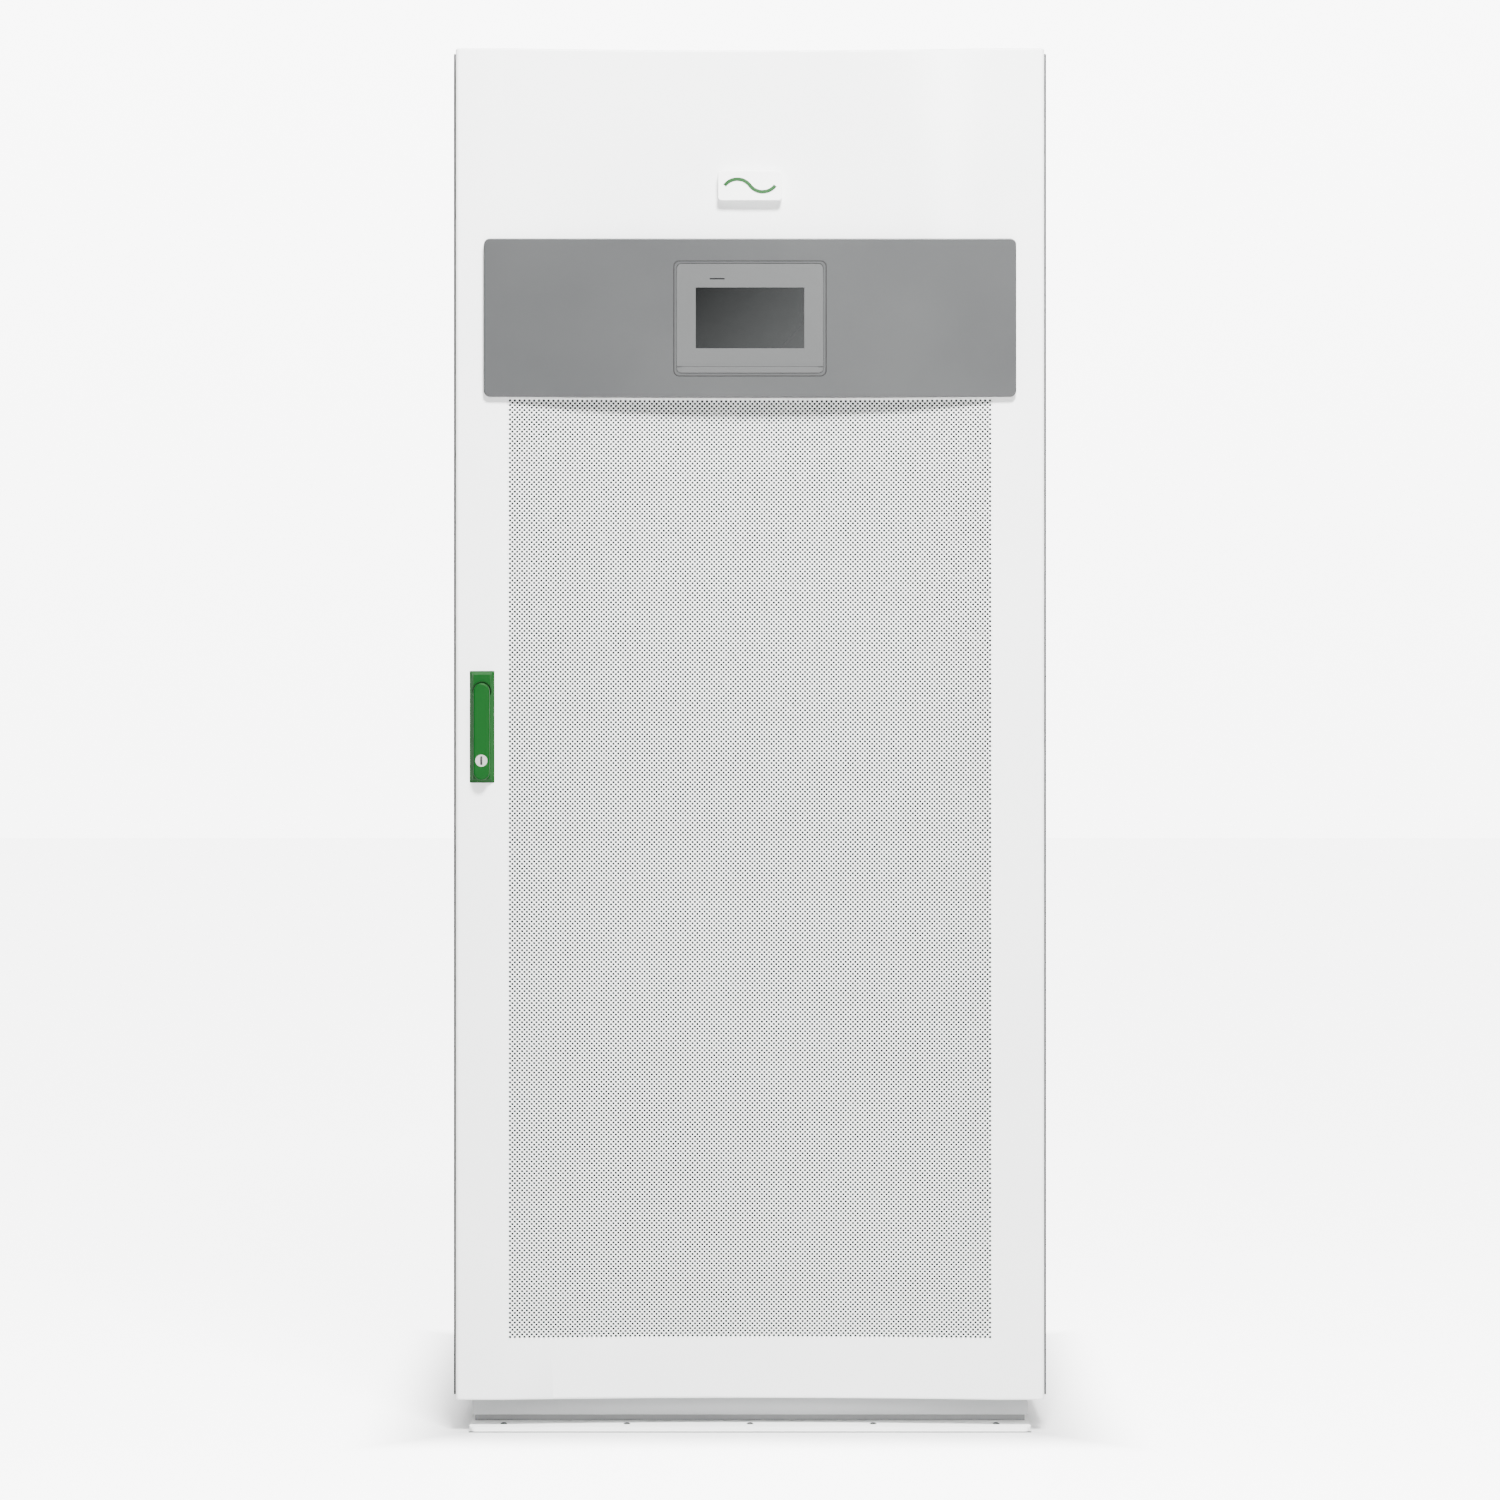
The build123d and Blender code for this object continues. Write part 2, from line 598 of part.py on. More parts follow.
# Blank cable gland plate over the top cable entry.
GLAND_SCREW_X = GLAND_W + GLAND_LAP
GLAND_SCREW_Y = GLAND_D + GLAND_LAP
with BuildPart() as gland_plate:
    with BuildSketch(Plane.XY.offset(ROOF_TOP)):
        with Locations((GLAND_X, GLAND_Y)):
            Rectangle(GLAND_W + 2 * GLAND_LAP, GLAND_D + 2 * GLAND_LAP)
            with GridLocations(GLAND_SCREW_X, GLAND_SCREW_Y, 2, 2):
                Circle(SCREW_SHANK_D / 2 + SCREW_FIT, mode=Mode.SUBTRACT)
    extrude(amount=GRILLE_T)
keep(gland_plate, "gland_plate")

# Identical flanged screws of the rear panel, the grille and the gland plate.
with BuildPart() as panel_screws:
    with BuildSketch(facing(PANEL_BACK_Y)):
        with Locations((0, REAR_MID_Z)):
            with GridLocations(REAR_SCREW_SPAN_X, REAR_SCREW_PITCH_Z, 2, REAR_SCREW_ROWS):
                Circle(SCREW_HEAD_D / 2)
    extrude(amount=-SCREW_HEAD_H)
    with BuildSketch(facing(PANEL_BACK_Y)):
        with Locations((0, REAR_MID_Z)):
            with GridLocations(REAR_SCREW_SPAN_X, REAR_SCREW_PITCH_Z, 2, REAR_SCREW_ROWS):
                Circle(SCREW_SHANK_D / 2)
    extrude(amount=PANEL_SHEET)
    for centre, span in (
        ((0, FAN_Y), (GRILLE_SCREW_X, GRILLE_SCREW_Y)),
        ((GLAND_X, GLAND_Y), (GLAND_SCREW_X, GLAND_SCREW_Y)),
    ):
        with BuildSketch(Plane.XY.offset(ROOF_TOP + GRILLE_T)):
            with Locations(centre):
                with GridLocations(span[0], span[1], 2, 2):
                    Circle(SCREW_HEAD_D / 2)
        extrude(amount=ROOF_SCREW_HEAD_H)
        with BuildSketch(Plane.XY.offset(ROOF_TOP + GRILLE_T)):
            with Locations(centre):
                with GridLocations(span[0], span[1], 2, 2):
                    Circle(SCREW_SHANK_D / 2)
        extrude(amount=-GRILLE_T)
keep(panel_screws, "panel_screws")

# Fan tray under the roof: three ringed openings, each with a spider that carries a motor.
TRAY_X = POST_IN_X + TRAY_LAP
TRAY_Z0 = POST_TOP - TRAY_H
SPIDER_Z = TRAY_Z0 + SPIDER_T
with BuildPart() as fan_tray:
    block((-POST_IN_X, POST_IN_X), (FAN_Y - TRAY_DEPTH / 2, FAN_Y + TRAY_DEPTH / 2), (TRAY_Z0, POST_TOP))
    block(
        (-POST_IN_X + TRAY_SHEET, POST_IN_X - TRAY_SHEET),
        (FAN_Y - TRAY_DEPTH / 2 + TRAY_SHEET, FAN_Y + TRAY_DEPTH / 2 - TRAY_SHEET),
        (TRAY_Z0 + TRAY_SHEET, POST_TOP),
        Mode.SUBTRACT,
    )
    for lip in (-1, 1):
        block(
            (lip * (POST_IN_X - TRAY_SHEET), lip * TRAY_X),
            (FAN_Y - TRAY_DEPTH / 2, FAN_Y + TRAY_DEPTH / 2),
            (POST_TOP - TRAY_SHEET, POST_TOP),
        )
    with Locations((0, FAN_Y, TRAY_Z0 + TRAY_SHEET / 2)):
        with GridLocations(FAN_PITCH, 1, FAN_COUNT, 1):
            Cylinder(FAN_HOLE_R, TRAY_SHEET, mode=Mode.SUBTRACT)
    with Locations((0, FAN_Y, SPIDER_Z - SPIDER_T / 2)):
        with GridLocations(FAN_PITCH, 1, FAN_COUNT, 1):
            Cylinder(FAN_HUB_R, SPIDER_T)
            Box(2 * FAN_HOLE_R + TRAY_SHEET, SPIDER_ARM, SPIDER_T)
            Box(SPIDER_ARM, 2 * FAN_HOLE_R + TRAY_SHEET, SPIDER_T)
keep(fan_tray, "fan_tray")


# Fan rotor: hub and seven pitched blades, turning about a vertical axis.
def fan_rotor(x):
    """The rotor that stands over the spider at this sideways position."""
    with BuildPart() as rotor:
        with Locations((x, FAN_Y, SPIDER_Z + AXLE_GAP)):
            Cylinder(FAN_HUB_R, FAN_HUB_H, align=ON_FLOOR)
        blade_l = FAN_TIP_R - FAN_HUB_R + BLADE_ROOT
        with Locations((x, FAN_Y, SPIDER_Z + AXLE_GAP + FAN_HUB_H / 2)):
            with PolarLocations(FAN_TIP_R - blade_l / 2, BLADES):
                Box(blade_l, BLADE_CHORD, BLADE_T, rotation=(BLADE_PITCH_DEG, 0, 0))
    return rotor


for fan_x, fan_name in ((-FAN_PITCH, "fan_left"), (0.0, "fan_middle"), (FAN_PITCH, "fan_right")):
    keep(fan_rotor(fan_x), fan_name)

# ================================================================ power bay
# Partition between the power modules and the switchgear, with a folded front edge.
with BuildPart() as bay_partition:
    block(
        (PARTITION_X, PARTITION_X + PARTITION_T),
        (FRONT_Y + PARTITION_SETBACK, FRONT_Y + PARTITION_BACK),
        (BASE_TOP, TRAY_Z0),
    )
keep(bay_partition, "bay_partition")

# Shelves: one under each module, one over the top module for the control box.
SHELF_ZS = [SHELF_Z0] + [SHELF_Z0 + SHELF_PITCH * (n + 2) for n in range(MODULES + 1)]
with BuildPart() as module_shelves:
    for shelf_z in SHELF_ZS:
        block(
            (-POST_IN_X, PARTITION_X),
            (FRONT_Y + PARTITION_SETBACK, FRONT_Y + SHELF_BACK),
            (shelf_z, shelf_z + SHELF_T),
        )
keep(module_shelves, "module_shelves")

CASE_X0 = -POST_IN_X + MODULE_SIDE_GAP
CASE_X1 = PARTITION_X - MODULE_SIDE_GAP
CASE_MID_X = (CASE_X0 + CASE_X1) / 2
CASE_Y0 = FRONT_Y + MODULE_FRONT
CASE_Y1 = CASE_Y0 + MODULE_DEPTH


def plug_in_unit(z, height):
    """A closed plug-in case that stands at z: faceplate, round air vents and pull lip."""
    with BuildPart() as unit:
        block((CASE_X0, CASE_X1), (CASE_Y0, CASE_Y1), (z, z + height))
        block(
            (CASE_X0 + CASE_SHEET, CASE_X1 - CASE_SHEET),
            (CASE_Y0 + CASE_SHEET + VENT_SUNK, CASE_Y1 - CASE_SHEET),
            (z + CASE_SHEET, z + height - CASE_SHEET),
            Mode.SUBTRACT,
        )
        with BuildSketch(facing(CASE_Y0)):
            with Locations((CASE_MID_X, z + height / 2)):
                Rectangle(CASE_X1 - CASE_X0 + FACEPLATE_DROP, height + FACEPLATE_H - MODULE_H)
        extrude(amount=FACEPLATE_T)
        with BuildSketch(facing(CASE_Y0 - FACEPLATE_T)):
            with Locations((CASE_MID_X, z + height / 2)):
                with GridLocations(VENT_PITCH, 1, VENTS, 1):
                    Circle(FAN_VENT_D / 2)
        extrude(amount=-VENT_SUNK - FACEPLATE_T, mode=Mode.SUBTRACT)
        block(
            (CASE_MID_X - PULL_W / 2, CASE_MID_X + PULL_W / 2),
            (CASE_Y0 - FACEPLATE_T - PULL_REACH, CASE_Y0 - FACEPLATE_T),
            (z + PULL_H, z + 2 * PULL_H),
        )
    return unit


# Static switch module at the bottom, two shelf pitches high.
SWITCH_Z = SHELF_ZS[0] + SHELF_T
static_switch = plug_in_unit(SWITCH_Z, MODULE_H + SHELF_PITCH)
keep(static_switch, "static_switch_module")

# Six identical power modules.
MODULE_ZS = [shelf_z + SHELF_T for shelf_z in SHELF_ZS[1:-1]]
for number, module_z in enumerate(MODULE_ZS, start=1):
    keep(plug_in_unit(module_z, MODULE_H), f"power_module_{number}")

# The working core inside each plug-in case: a finned heat sink block.
CORE_Y0 = CASE_Y0 + CORE_FRONT
with BuildPart() as module_cores:
    for core_z in [SWITCH_Z] + MODULE_ZS:
        block(
            (CASE_MID_X - CORE_W / 2, CASE_MID_X + CORE_W / 2),
            (CORE_Y0, CORE_Y0 + CORE_D),
            (core_z + CASE_SHEET, core_z + CASE_SHEET + CORE_H),
        )
        with Locations((CASE_MID_X, CORE_Y0 + CORE_D / 2, core_z + CASE_SHEET + CORE_H - FIN_H / 2)):
            with GridLocations(CORE_W / FINS, 1, FINS, 1):
                Box(FIN_SLOT, CORE_D, FIN_H, mode=Mode.SUBTRACT)
keep(module_cores, "module_cores")

# Control box over the modules, with a row of ports in its face.
CONTROL_Z = SHELF_ZS[-1] + SHELF_T
with BuildPart() as control_box:
    block((CASE_X0, CASE_X1), (CASE_Y0, CASE_Y0 + CONTROL_D), (CONTROL_Z, CONTROL_Z + CONTROL_H))
    block(
        (CASE_X0 + CASE_SHEET, CASE_X1 - CASE_SHEET),
        (CASE_Y0 + CASE_SHEET + PORT_DEPTH, CASE_Y0 + CONTROL_D - CASE_SHEET),
        (CONTROL_Z + CASE_SHEET, CONTROL_Z + CONTROL_H - CASE_SHEET),
        Mode.SUBTRACT,
    )
    with BuildSketch(facing(CASE_Y0)):
        for row_z in (CONTROL_Z + CONTROL_H / 3, CONTROL_Z + 2 * CONTROL_H / 3):
            with Locations((CASE_MID_X, row_z)):
                with GridLocations(PORT_PITCH, 1, PORTS, 1):
                    Rectangle(PORT_W, PORT_H)
    extrude(amount=-PORT_DEPTH, mode=Mode.SUBTRACT)
keep(control_box, "control_box")

# ================================================================ switchgear bay
BAY_X0 = PARTITION_X + PARTITION_T
BAY_X1 = POST_IN_X
BAY_MID_X = (BAY_X0 + BAY_X1) / 2
MOUNT_Y = FRONT_Y + MOUNT_PLATE
NOSE_Y = MOUNT_Y - BREAKER_D - NOSE_D
TOGGLE_Y = NOSE_Y + TOGGLE_SINK

# Mounting plate that stands on the right-hand rail and carries breakers and busbars.
with BuildPart() as mounting_plate:
    block((BAY_X0, BAY_X1), (MOUNT_Y, MOUNT_Y + MOUNT_PLATE_T), (BASE_TOP, MOUNT_PLATE_Z1))
keep(mounting_plate, "mounting_plate")

# Three moulded-case breakers, each with a raised nose and a slot for its toggle.
SLOT_X = TOGGLE_W / 2 + TOGGLE_GAP
with BuildPart() as breakers:
    for breaker_z in BREAKER_ZS:
        block(
            (BAY_MID_X - BREAKER_W / 2, BAY_MID_X + BREAKER_W / 2),
            (MOUNT_Y - BREAKER_D, MOUNT_Y),
            (breaker_z - BREAKER_H / 2, breaker_z + BREAKER_H / 2),
        )
        block(
            (BAY_MID_X - NOSE_W / 2, BAY_MID_X + NOSE_W / 2),
            (NOSE_Y, MOUNT_Y - BREAKER_D),
            (breaker_z - NOSE_H / 2, breaker_z + NOSE_H / 2),
        )
        block(
            (BAY_MID_X - SLOT_X, BAY_MID_X + SLOT_X),
            (NOSE_Y, TOGGLE_Y + TOGGLE_ROOT_R + TOGGLE_GAP),
            (breaker_z - TOGGLE_SLOT_H / 2, breaker_z + TOGGLE_SLOT_H / 2),
            Mode.SUBTRACT,
        )
keep(breakers, "breakers")


# Breaker toggle: a drum on a sideways axis with a lever that points up at rest.
def toggle(z):
    """The toggle of the breaker whose middle is at z."""
    with BuildPart() as lever:
        with BuildSketch(Plane.YZ.offset(BAY_MID_X - TOGGLE_W / 2)):
            with Locations((TOGGLE_Y, z)):
                Circle(TOGGLE_ROOT_R)
            with Locations(Location((TOGGLE_Y, z), -TOGGLE_TILT)):
                with Locations((-TOGGLE_REACH / 2, 0)):
                    Rectangle(TOGGLE_REACH, TOGGLE_T)
        extrude(amount=TOGGLE_W)
    return lever


for breaker_z, toggle_name in zip(BREAKER_ZS, ("toggle_output", "toggle_bypass", "toggle_input")):
    keep(toggle(breaker_z), toggle_name)

# Dead-front plate between the partition and the post, cut out for the breaker noses.
with BuildPart() as dead_front:
    block(
        (BAY_X0, BAY_X1),
        (FRONT_Y + DEAD_FRONT, FRONT_Y + DEAD_FRONT + DEAD_FRONT_T),
        (BREAKER_ZS[0] - DEAD_FRONT_LAP, BREAKER_ZS[-1] + DEAD_FRONT_LAP),
    )
    with BuildSketch(facing(FRONT_Y + DEAD_FRONT)):
        for breaker_z in BREAKER_ZS:
            with Locations((BAY_MID_X, breaker_z)):
                Rectangle(NOSE_W + 2 * NOSE_GAP, NOSE_H + 2 * NOSE_GAP)
    extrude(amount=-DEAD_FRONT_T, mode=Mode.SUBTRACT)
keep(dead_front, "dead_front")

# Four copper busbars with a bolt hole at each end, on round insulators.
BUSBAR_Y = MOUNT_Y - INSULATOR_H - BUSBAR_T
BUSBAR_MID_Z = (BUSBAR_Z0 + BUSBAR_Z1) / 2
with BuildPart() as busbars:
    with BuildSketch(facing(BUSBAR_Y + BUSBAR_T)):
        with Locations((BAY_MID_X, BUSBAR_MID_Z)):
            with GridLocations(BUSBAR_PITCH, 1, BUSBARS, 1):
                Rectangle(BUSBAR_W, BUSBAR_Z1 - BUSBAR_Z0)
            with GridLocations(BUSBAR_PITCH, BUSBAR_Z1 - BUSBAR_Z0 - 2 * BUSBAR_W, BUSBARS, 2):
                Circle(BUSBAR_HOLE_D / 2, mode=Mode.SUBTRACT)
    extrude(amount=BUSBAR_T)
keep(busbars, "busbars")

with BuildPart() as insulators:
    with BuildSketch(facing(MOUNT_Y)):
        with Locations((BAY_MID_X, BUSBAR_MID_Z)):
            with GridLocations(BUSBAR_PITCH, (BUSBAR_Z1 - BUSBAR_Z0) * 2 / 3, BUSBARS, 2):
                Circle(INSULATOR_D / 2)
    extrude(amount=INSULATOR_H)
keep(insulators, "insulators")

# ================================================================ door
# Folded door skin: flat strips, concave middle, returns all round and a rear flange.
HANDLE_MID_Z = HANDLE_Z0 + HANDLE_H / 2
with BuildPart() as door_skin:
    outline = door_plan(DOOR_X, FRONT_Y, DOOR_BACK_Y, BEND_R, DOOR_BOTTOM)
    extrude(outline, amount=HEIGHT - DOOR_BOTTOM)
    top_edges = [
        e
        for f in door_skin.faces().filter_by(Axis.Z)
        for e in f.edges()
        if e.center().Y < FRONT_Y + SAGITTA + 1
    ]
    fillet(top_edges, TOP_BEND_R)
    hollow = door_plan(DOOR_X - SKIN, FRONT_Y + SKIN, DOOR_BACK_Y - SKIN, BEND_R - SKIN, DOOR_BOTTOM + SKIN)
    extrude(hollow, amount=HEIGHT - DOOR_BOTTOM - 2 * SKIN, mode=Mode.SUBTRACT)
    block(
        (-DOOR_X + FLANGE, DOOR_X - FLANGE),
        (DOOR_BACK_Y - SKIN, DOOR_BACK_Y),
        (DOOR_BOTTOM + FLANGE, HEIGHT - FLANGE),
        Mode.SUBTRACT,
    )
    for hinge_z in HINGE_ZS:
        block(
            (HINGE_NOTCH_X, DOOR_X),
            (HINGE_Y - HINGE_NOTCH_FORE, DOOR_BACK_Y),
            (hinge_z - HINGE_NOTCH_H / 2, hinge_z + HINGE_NOTCH_H / 2),
            Mode.SUBTRACT,
        )
    with BuildSketch(facing(FRONT_Y + SKIN)):
        with Locations((HANDLE_X, PIVOT_Z)):
            Circle(SPINDLE_D / 2 + RUN_FIT)
    extrude(amount=SKIN, mode=Mode.SUBTRACT)
keep(door_skin, "door_skin")

# Vertical angle strips behind the skin that stiffen it and hold the filter mat.
STIFF_X = MESH_X + MAT_LAP + SEAT_GAP
STIFF_Z0 = MESH_Z0 - STIFF_LAP
STIFF_Z1 = MESH_Z1 + STIFF_LAP
STIFF_SEAT_Y = FRONT_Y + SKIN + SEAT_GAP + concave_rise(STIFF_X)
STIFF_BACK_Y = FRONT_Y + STIFF_DEPTH
with BuildPart() as door_stiffeners:
    for side in (-1, 1):
        block((side * STIFF_X, side * (STIFF_X + SKIN)), (STIFF_SEAT_Y, STIFF_BACK_Y), (STIFF_Z0, STIFF_Z1))
        block(
            (side * (STIFF_X + SKIN - STIFF_FLANGE), side * (STIFF_X + SKIN)),
            (STIFF_BACK_Y - SKIN, STIFF_BACK_Y),
            (STIFF_Z0, STIFF_Z1),
        )
keep(door_stiffeners, "door_stiffeners")

# Filter mat against the back of the perforated field.
MAT_FRONT = FRONT_Y + SKIN + SEAT_GAP
MAT_SPAN_Z = (MESH_Z0 - MAT_LAP, MESH_Z1 + MAT_LAP)
filter_mat = arc_slab(MESH_X + MAT_LAP, MAT_FRONT, MAT_FRONT + MAT_T, MAT_SPAN_Z[0], MAT_SPAN_Z[1])
keep(filter_mat, "filter_mat")

# Flat bars across the two stiffeners that keep the mat in.
FILTER_BAR_PITCH = (MESH_Z1 - MESH_Z0) / FILTER_BARS
with BuildPart() as filter_bars:
    with BuildSketch(facing(FRONT_Y + STIFF_DEPTH)):
        with Locations((0, (MESH_Z0 + MESH_Z1) / 2)):
            with GridLocations(1, FILTER_BAR_PITCH, 1, FILTER_BARS):
                Rectangle(2 * (STIFF_X + SKIN), FILTER_BAR_H)
    extrude(amount=-SKIN)
keep(filter_bars, "filter_bars")

# Fascia: a moulded tray whose flat face stands proud and whose skirt follows the door.
FASCIA_FACE_Y = FRONT_Y - FASCIA_PROUD
with BuildPart() as fascia:
    with BuildSketch(facing(FRONT_Y + SAGITTA)):
        with Locations((0, FASCIA_Z)):
            RectangleRounded(FASCIA_W, FASCIA_H, FASCIA_R)
    extrude(amount=SAGITTA + FASCIA_PROUD)
    face_edges = fascia.faces().sort_by(Axis.Y)[0].edges()
    fillet(face_edges, FASCIA_EDGE_R)
    with BuildSketch(facing(FRONT_Y + SAGITTA)):
        with Locations((0, FASCIA_Z)):
            RectangleRounded(
                FASCIA_W - 2 * FASCIA_WALL, FASCIA_H - 2 * FASCIA_WALL, FASCIA_R - FASCIA_WALL
            )
    extrude(amount=SAGITTA + FASCIA_PROUD - FASCIA_WALL, mode=Mode.SUBTRACT)
    behind = door_plan(DOOR_X, FRONT_Y - SEAT_GAP, DOOR_BACK_Y, BEND_R, FASCIA_Z - FASCIA_H)
    extrude(behind, amount=2 * FASCIA_H, mode=Mode.SUBTRACT)
    with BuildSketch(facing(FASCIA_FACE_Y + FASCIA_WALL)):
        with Locations((0, BEZEL_Z)):
            RectangleRounded(BEZEL_W + 2 * BEZEL_GAP, BEZEL_H + 2 * BEZEL_GAP, BEZEL_R + BEZEL_GAP)
    extrude(amount=FASCIA_WALL, mode=Mode.SUBTRACT)
keep(fascia, "fascia")

# Display housing: bezel with a screen recess, a lower lip and a rim behind the fascia.
with BuildPart() as display_bezel:
    with BuildSketch(facing(FASCIA_FACE_Y + BEZEL_DEPTH)):
        with Locations((0, BEZEL_Z)):
            RectangleRounded(BEZEL_W, BEZEL_H, BEZEL_R)
    extrude(amount=BEZEL_DEPTH)
    with BuildSketch(facing(FASCIA_FACE_Y + FASCIA_WALL + BEZEL_RIM)):
        with Locations((0, BEZEL_Z)):
            Rectangle(BEZEL_W + 2 * BEZEL_RIM, BEZEL_H + 2 * BEZEL_RIM)
    extrude(amount=BEZEL_RIM)
    with BuildSketch(facing(FASCIA_FACE_Y)):
        with Locations((0, BEZEL_Z - BEZEL_H / 2 + BEZEL_LIP_H / 2)):
            Rectangle(BEZEL_W - 2 * BEZEL_R, BEZEL_LIP_H)
    extrude(amount=BEZEL_LIP_PROUD)
    with BuildSketch(facing(FASCIA_FACE_Y)):
        with Locations((0, SCREEN_Z)):
            Rectangle(SCREEN_W + 2 * SCREEN_FIT, SCREEN_H + 2 * SCREEN_FIT)
        with Locations((LED_X, LED_Z)):
            Rectangle(LED_W + 2 * SCREEN_FIT, LED_H + 2 * SCREEN_FIT)
    extrude(amount=-SCREEN_T - SCREEN_SUNK, mode=Mode.SUBTRACT)
keep(display_bezel, "display_bezel")

with BuildPart() as display_screen:
    with BuildSketch(facing(FASCIA_FACE_Y + SCREEN_T + SCREEN_SUNK)):
        with Locations((0, SCREEN_Z)):
            Rectangle(SCREEN_W, SCREEN_H)
    extrude(amount=SCREEN_T)
keep(display_screen, "display_screen")

# Light pipe of the status lamp above the screen.
with BuildPart() as status_lamp:
    with BuildSketch(facing(FASCIA_FACE_Y + SCREEN_T + SCREEN_SUNK)):
        with Locations((LED_X, LED_Z)):
            Rectangle(LED_W, LED_H)
    extrude(amount=SCREEN_T + SCREEN_SUNK)
keep(status_lamp, "status_lamp")

# Plain badge block in the hollow of the door, with a generic mains-wave mark.
BADGE_FACE_Y = FRONT_Y + SAGITTA - BADGE_T
with BuildPart() as badge:
    with BuildSketch(facing(FRONT_Y + SAGITTA - 2 * SEAT_GAP)):
        with Locations((0, BADGE_Z)):
            RectangleRounded(BADGE_W, BADGE_H, BADGE_R)
    extrude(amount=BADGE_T - 2 * SEAT_GAP)
    fillet(badge.faces().sort_by(Axis.Y)[0].edges(), BADGE_EDGE_R)
keep(badge, "badge")

with BuildPart() as badge_mark:
    with BuildSketch(facing(BADGE_FACE_Y)):
        with BuildLine():
            ThreePointArc((-4 * WAVE_R, BADGE_Z), (-2 * WAVE_R, BADGE_Z + WAVE_R), (0, BADGE_Z))
            ThreePointArc((0, BADGE_Z), (2 * WAVE_R, BADGE_Z - WAVE_R), (4 * WAVE_R, BADGE_Z))
        trace(line_width=MARK_STROKE)
    extrude(amount=MARK_T)
keep(badge_mark, "badge_mark")

# ================================================================ swing handle and latch
# Handle base: bevelled plate with a round pocket for the pivot.
BEVEL_DEG = degrees(atan2((HANDLE_W - LEVER_W) / 2 - HANDLE_RIM, HANDLE_BASE_T))
with BuildPart() as handle_base:
    with BuildSketch(facing(FRONT_Y)):
        with Locations((HANDLE_X, HANDLE_MID_Z)):
            RectangleRounded(HANDLE_W, HANDLE_H, HANDLE_CORNER_R)
    extrude(amount=HANDLE_BASE_T, taper=BEVEL_DEG)
    with BuildSketch(facing(FRONT_Y)):
        with Locations((HANDLE_X, PIVOT_Z)):
            Circle(SPINDLE_D / 2 + RUN_FIT)
    extrude(amount=HANDLE_BASE_T, mode=Mode.SUBTRACT)
    with BuildSketch(facing(FRONT_Y - POCKET_FLOOR)):
        with Locations((HANDLE_X, PIVOT_Z)):
            Circle(POCKET_R)
    extrude(amount=HANDLE_BASE_T, mode=Mode.SUBTRACT)
keep(handle_base, "handle_base")

# Pivot: spindle through the door with a smooth pinion inside and a tongue for the lever.
PINION_R = PITCH_R - ROD_CLEAR
TONGUE_R = LIFT_PIN_D / 2 + TONGUE_RIM
SPINDLE_BACK_Y = FRONT_Y + SKIN + CASE_DEPTH - CASE_WALL - AXLE_GAP
with BuildPart() as handle_pivot:
    with BuildSketch(facing(SPINDLE_BACK_Y)):
        with Locations((HANDLE_X, PIVOT_Z)):
            Circle(SPINDLE_D / 2)
    extrude(amount=SPINDLE_BACK_Y - FRONT_Y + PIVOT_PROUD)
    with BuildSketch(facing(SPINDLE_BACK_Y)):
        with Locations((HANDLE_X, PIVOT_Z)):
            Circle(PINION_R)
    extrude(amount=SPINDLE_BACK_Y - FRONT_Y - SKIN - AXLE_GAP)
    with BuildSketch(Plane.YZ.offset(HANDLE_X - TONGUE_W / 2)):
        with Locations((LIFT_Y, PIVOT_Z)):
            Circle(TONGUE_R)
        with Locations(((LIFT_Y + FRONT_Y - PIVOT_PROUD) / 2, PIVOT_Z)):
            Rectangle(FRONT_Y - PIVOT_PROUD - LIFT_Y, 2 * TONGUE_R)
    extrude(amount=TONGUE_W)
    with BuildSketch(Plane.YZ.offset(HANDLE_X - LIFT_PIN_L / 2)):
        with Locations((LIFT_Y, PIVOT_Z)):
            Circle(LIFT_PIN_D / 2)
    extrude(amount=LIFT_PIN_L)
keep(handle_pivot, "handle_pivot")

# Lever: a slim rounded bar, slotted behind for the tongue and bored for pin and lock.
with BuildPart() as handle_lever:
    with BuildSketch(facing(LEVER_BACK_Y)):
        with Locations((HANDLE_X, (LEVER_Z0 + LEVER_Z1) / 2)):
            SlotOverall(LEVER_Z1 - LEVER_Z0, LEVER_W, rotation=90)
    extrude(amount=LEVER_BACK_Y - LEVER_FACE_Y)
    fillet(handle_lever.faces().sort_by(Axis.Y)[0].edges(), LEVER_EDGE_R)
    block(
        (HANDLE_X - TONGUE_W / 2 - TONGUE_GAP, HANDLE_X + TONGUE_W / 2 + TONGUE_GAP),
        (LEVER_FACE_Y + LEVER_SHELL, LEVER_BACK_Y),
        (PIVOT_Z - TONGUE_SLOT_H / 2, PIVOT_Z + TONGUE_SLOT_H / 2),
        Mode.SUBTRACT,
    )
    with BuildSketch(Plane.YZ.offset(HANDLE_X - LIFT_PIN_L / 2 - TONGUE_GAP)):
        with Locations((LIFT_Y, PIVOT_Z)):
            Circle(LIFT_PIN_D / 2 + RUN_FIT)
    extrude(amount=LIFT_PIN_L + 2 * TONGUE_GAP, mode=Mode.SUBTRACT)
    with BuildSketch(facing(LEVER_FACE_Y + LOCK_DEPTH)):
        with Locations((HANDLE_X, LOCK_Z)):
            Circle(LOCK_D / 2 + RUN_FIT)
    extrude(amount=LOCK_DEPTH, mode=Mode.SUBTRACT)
keep(handle_lever, "handle_lever")

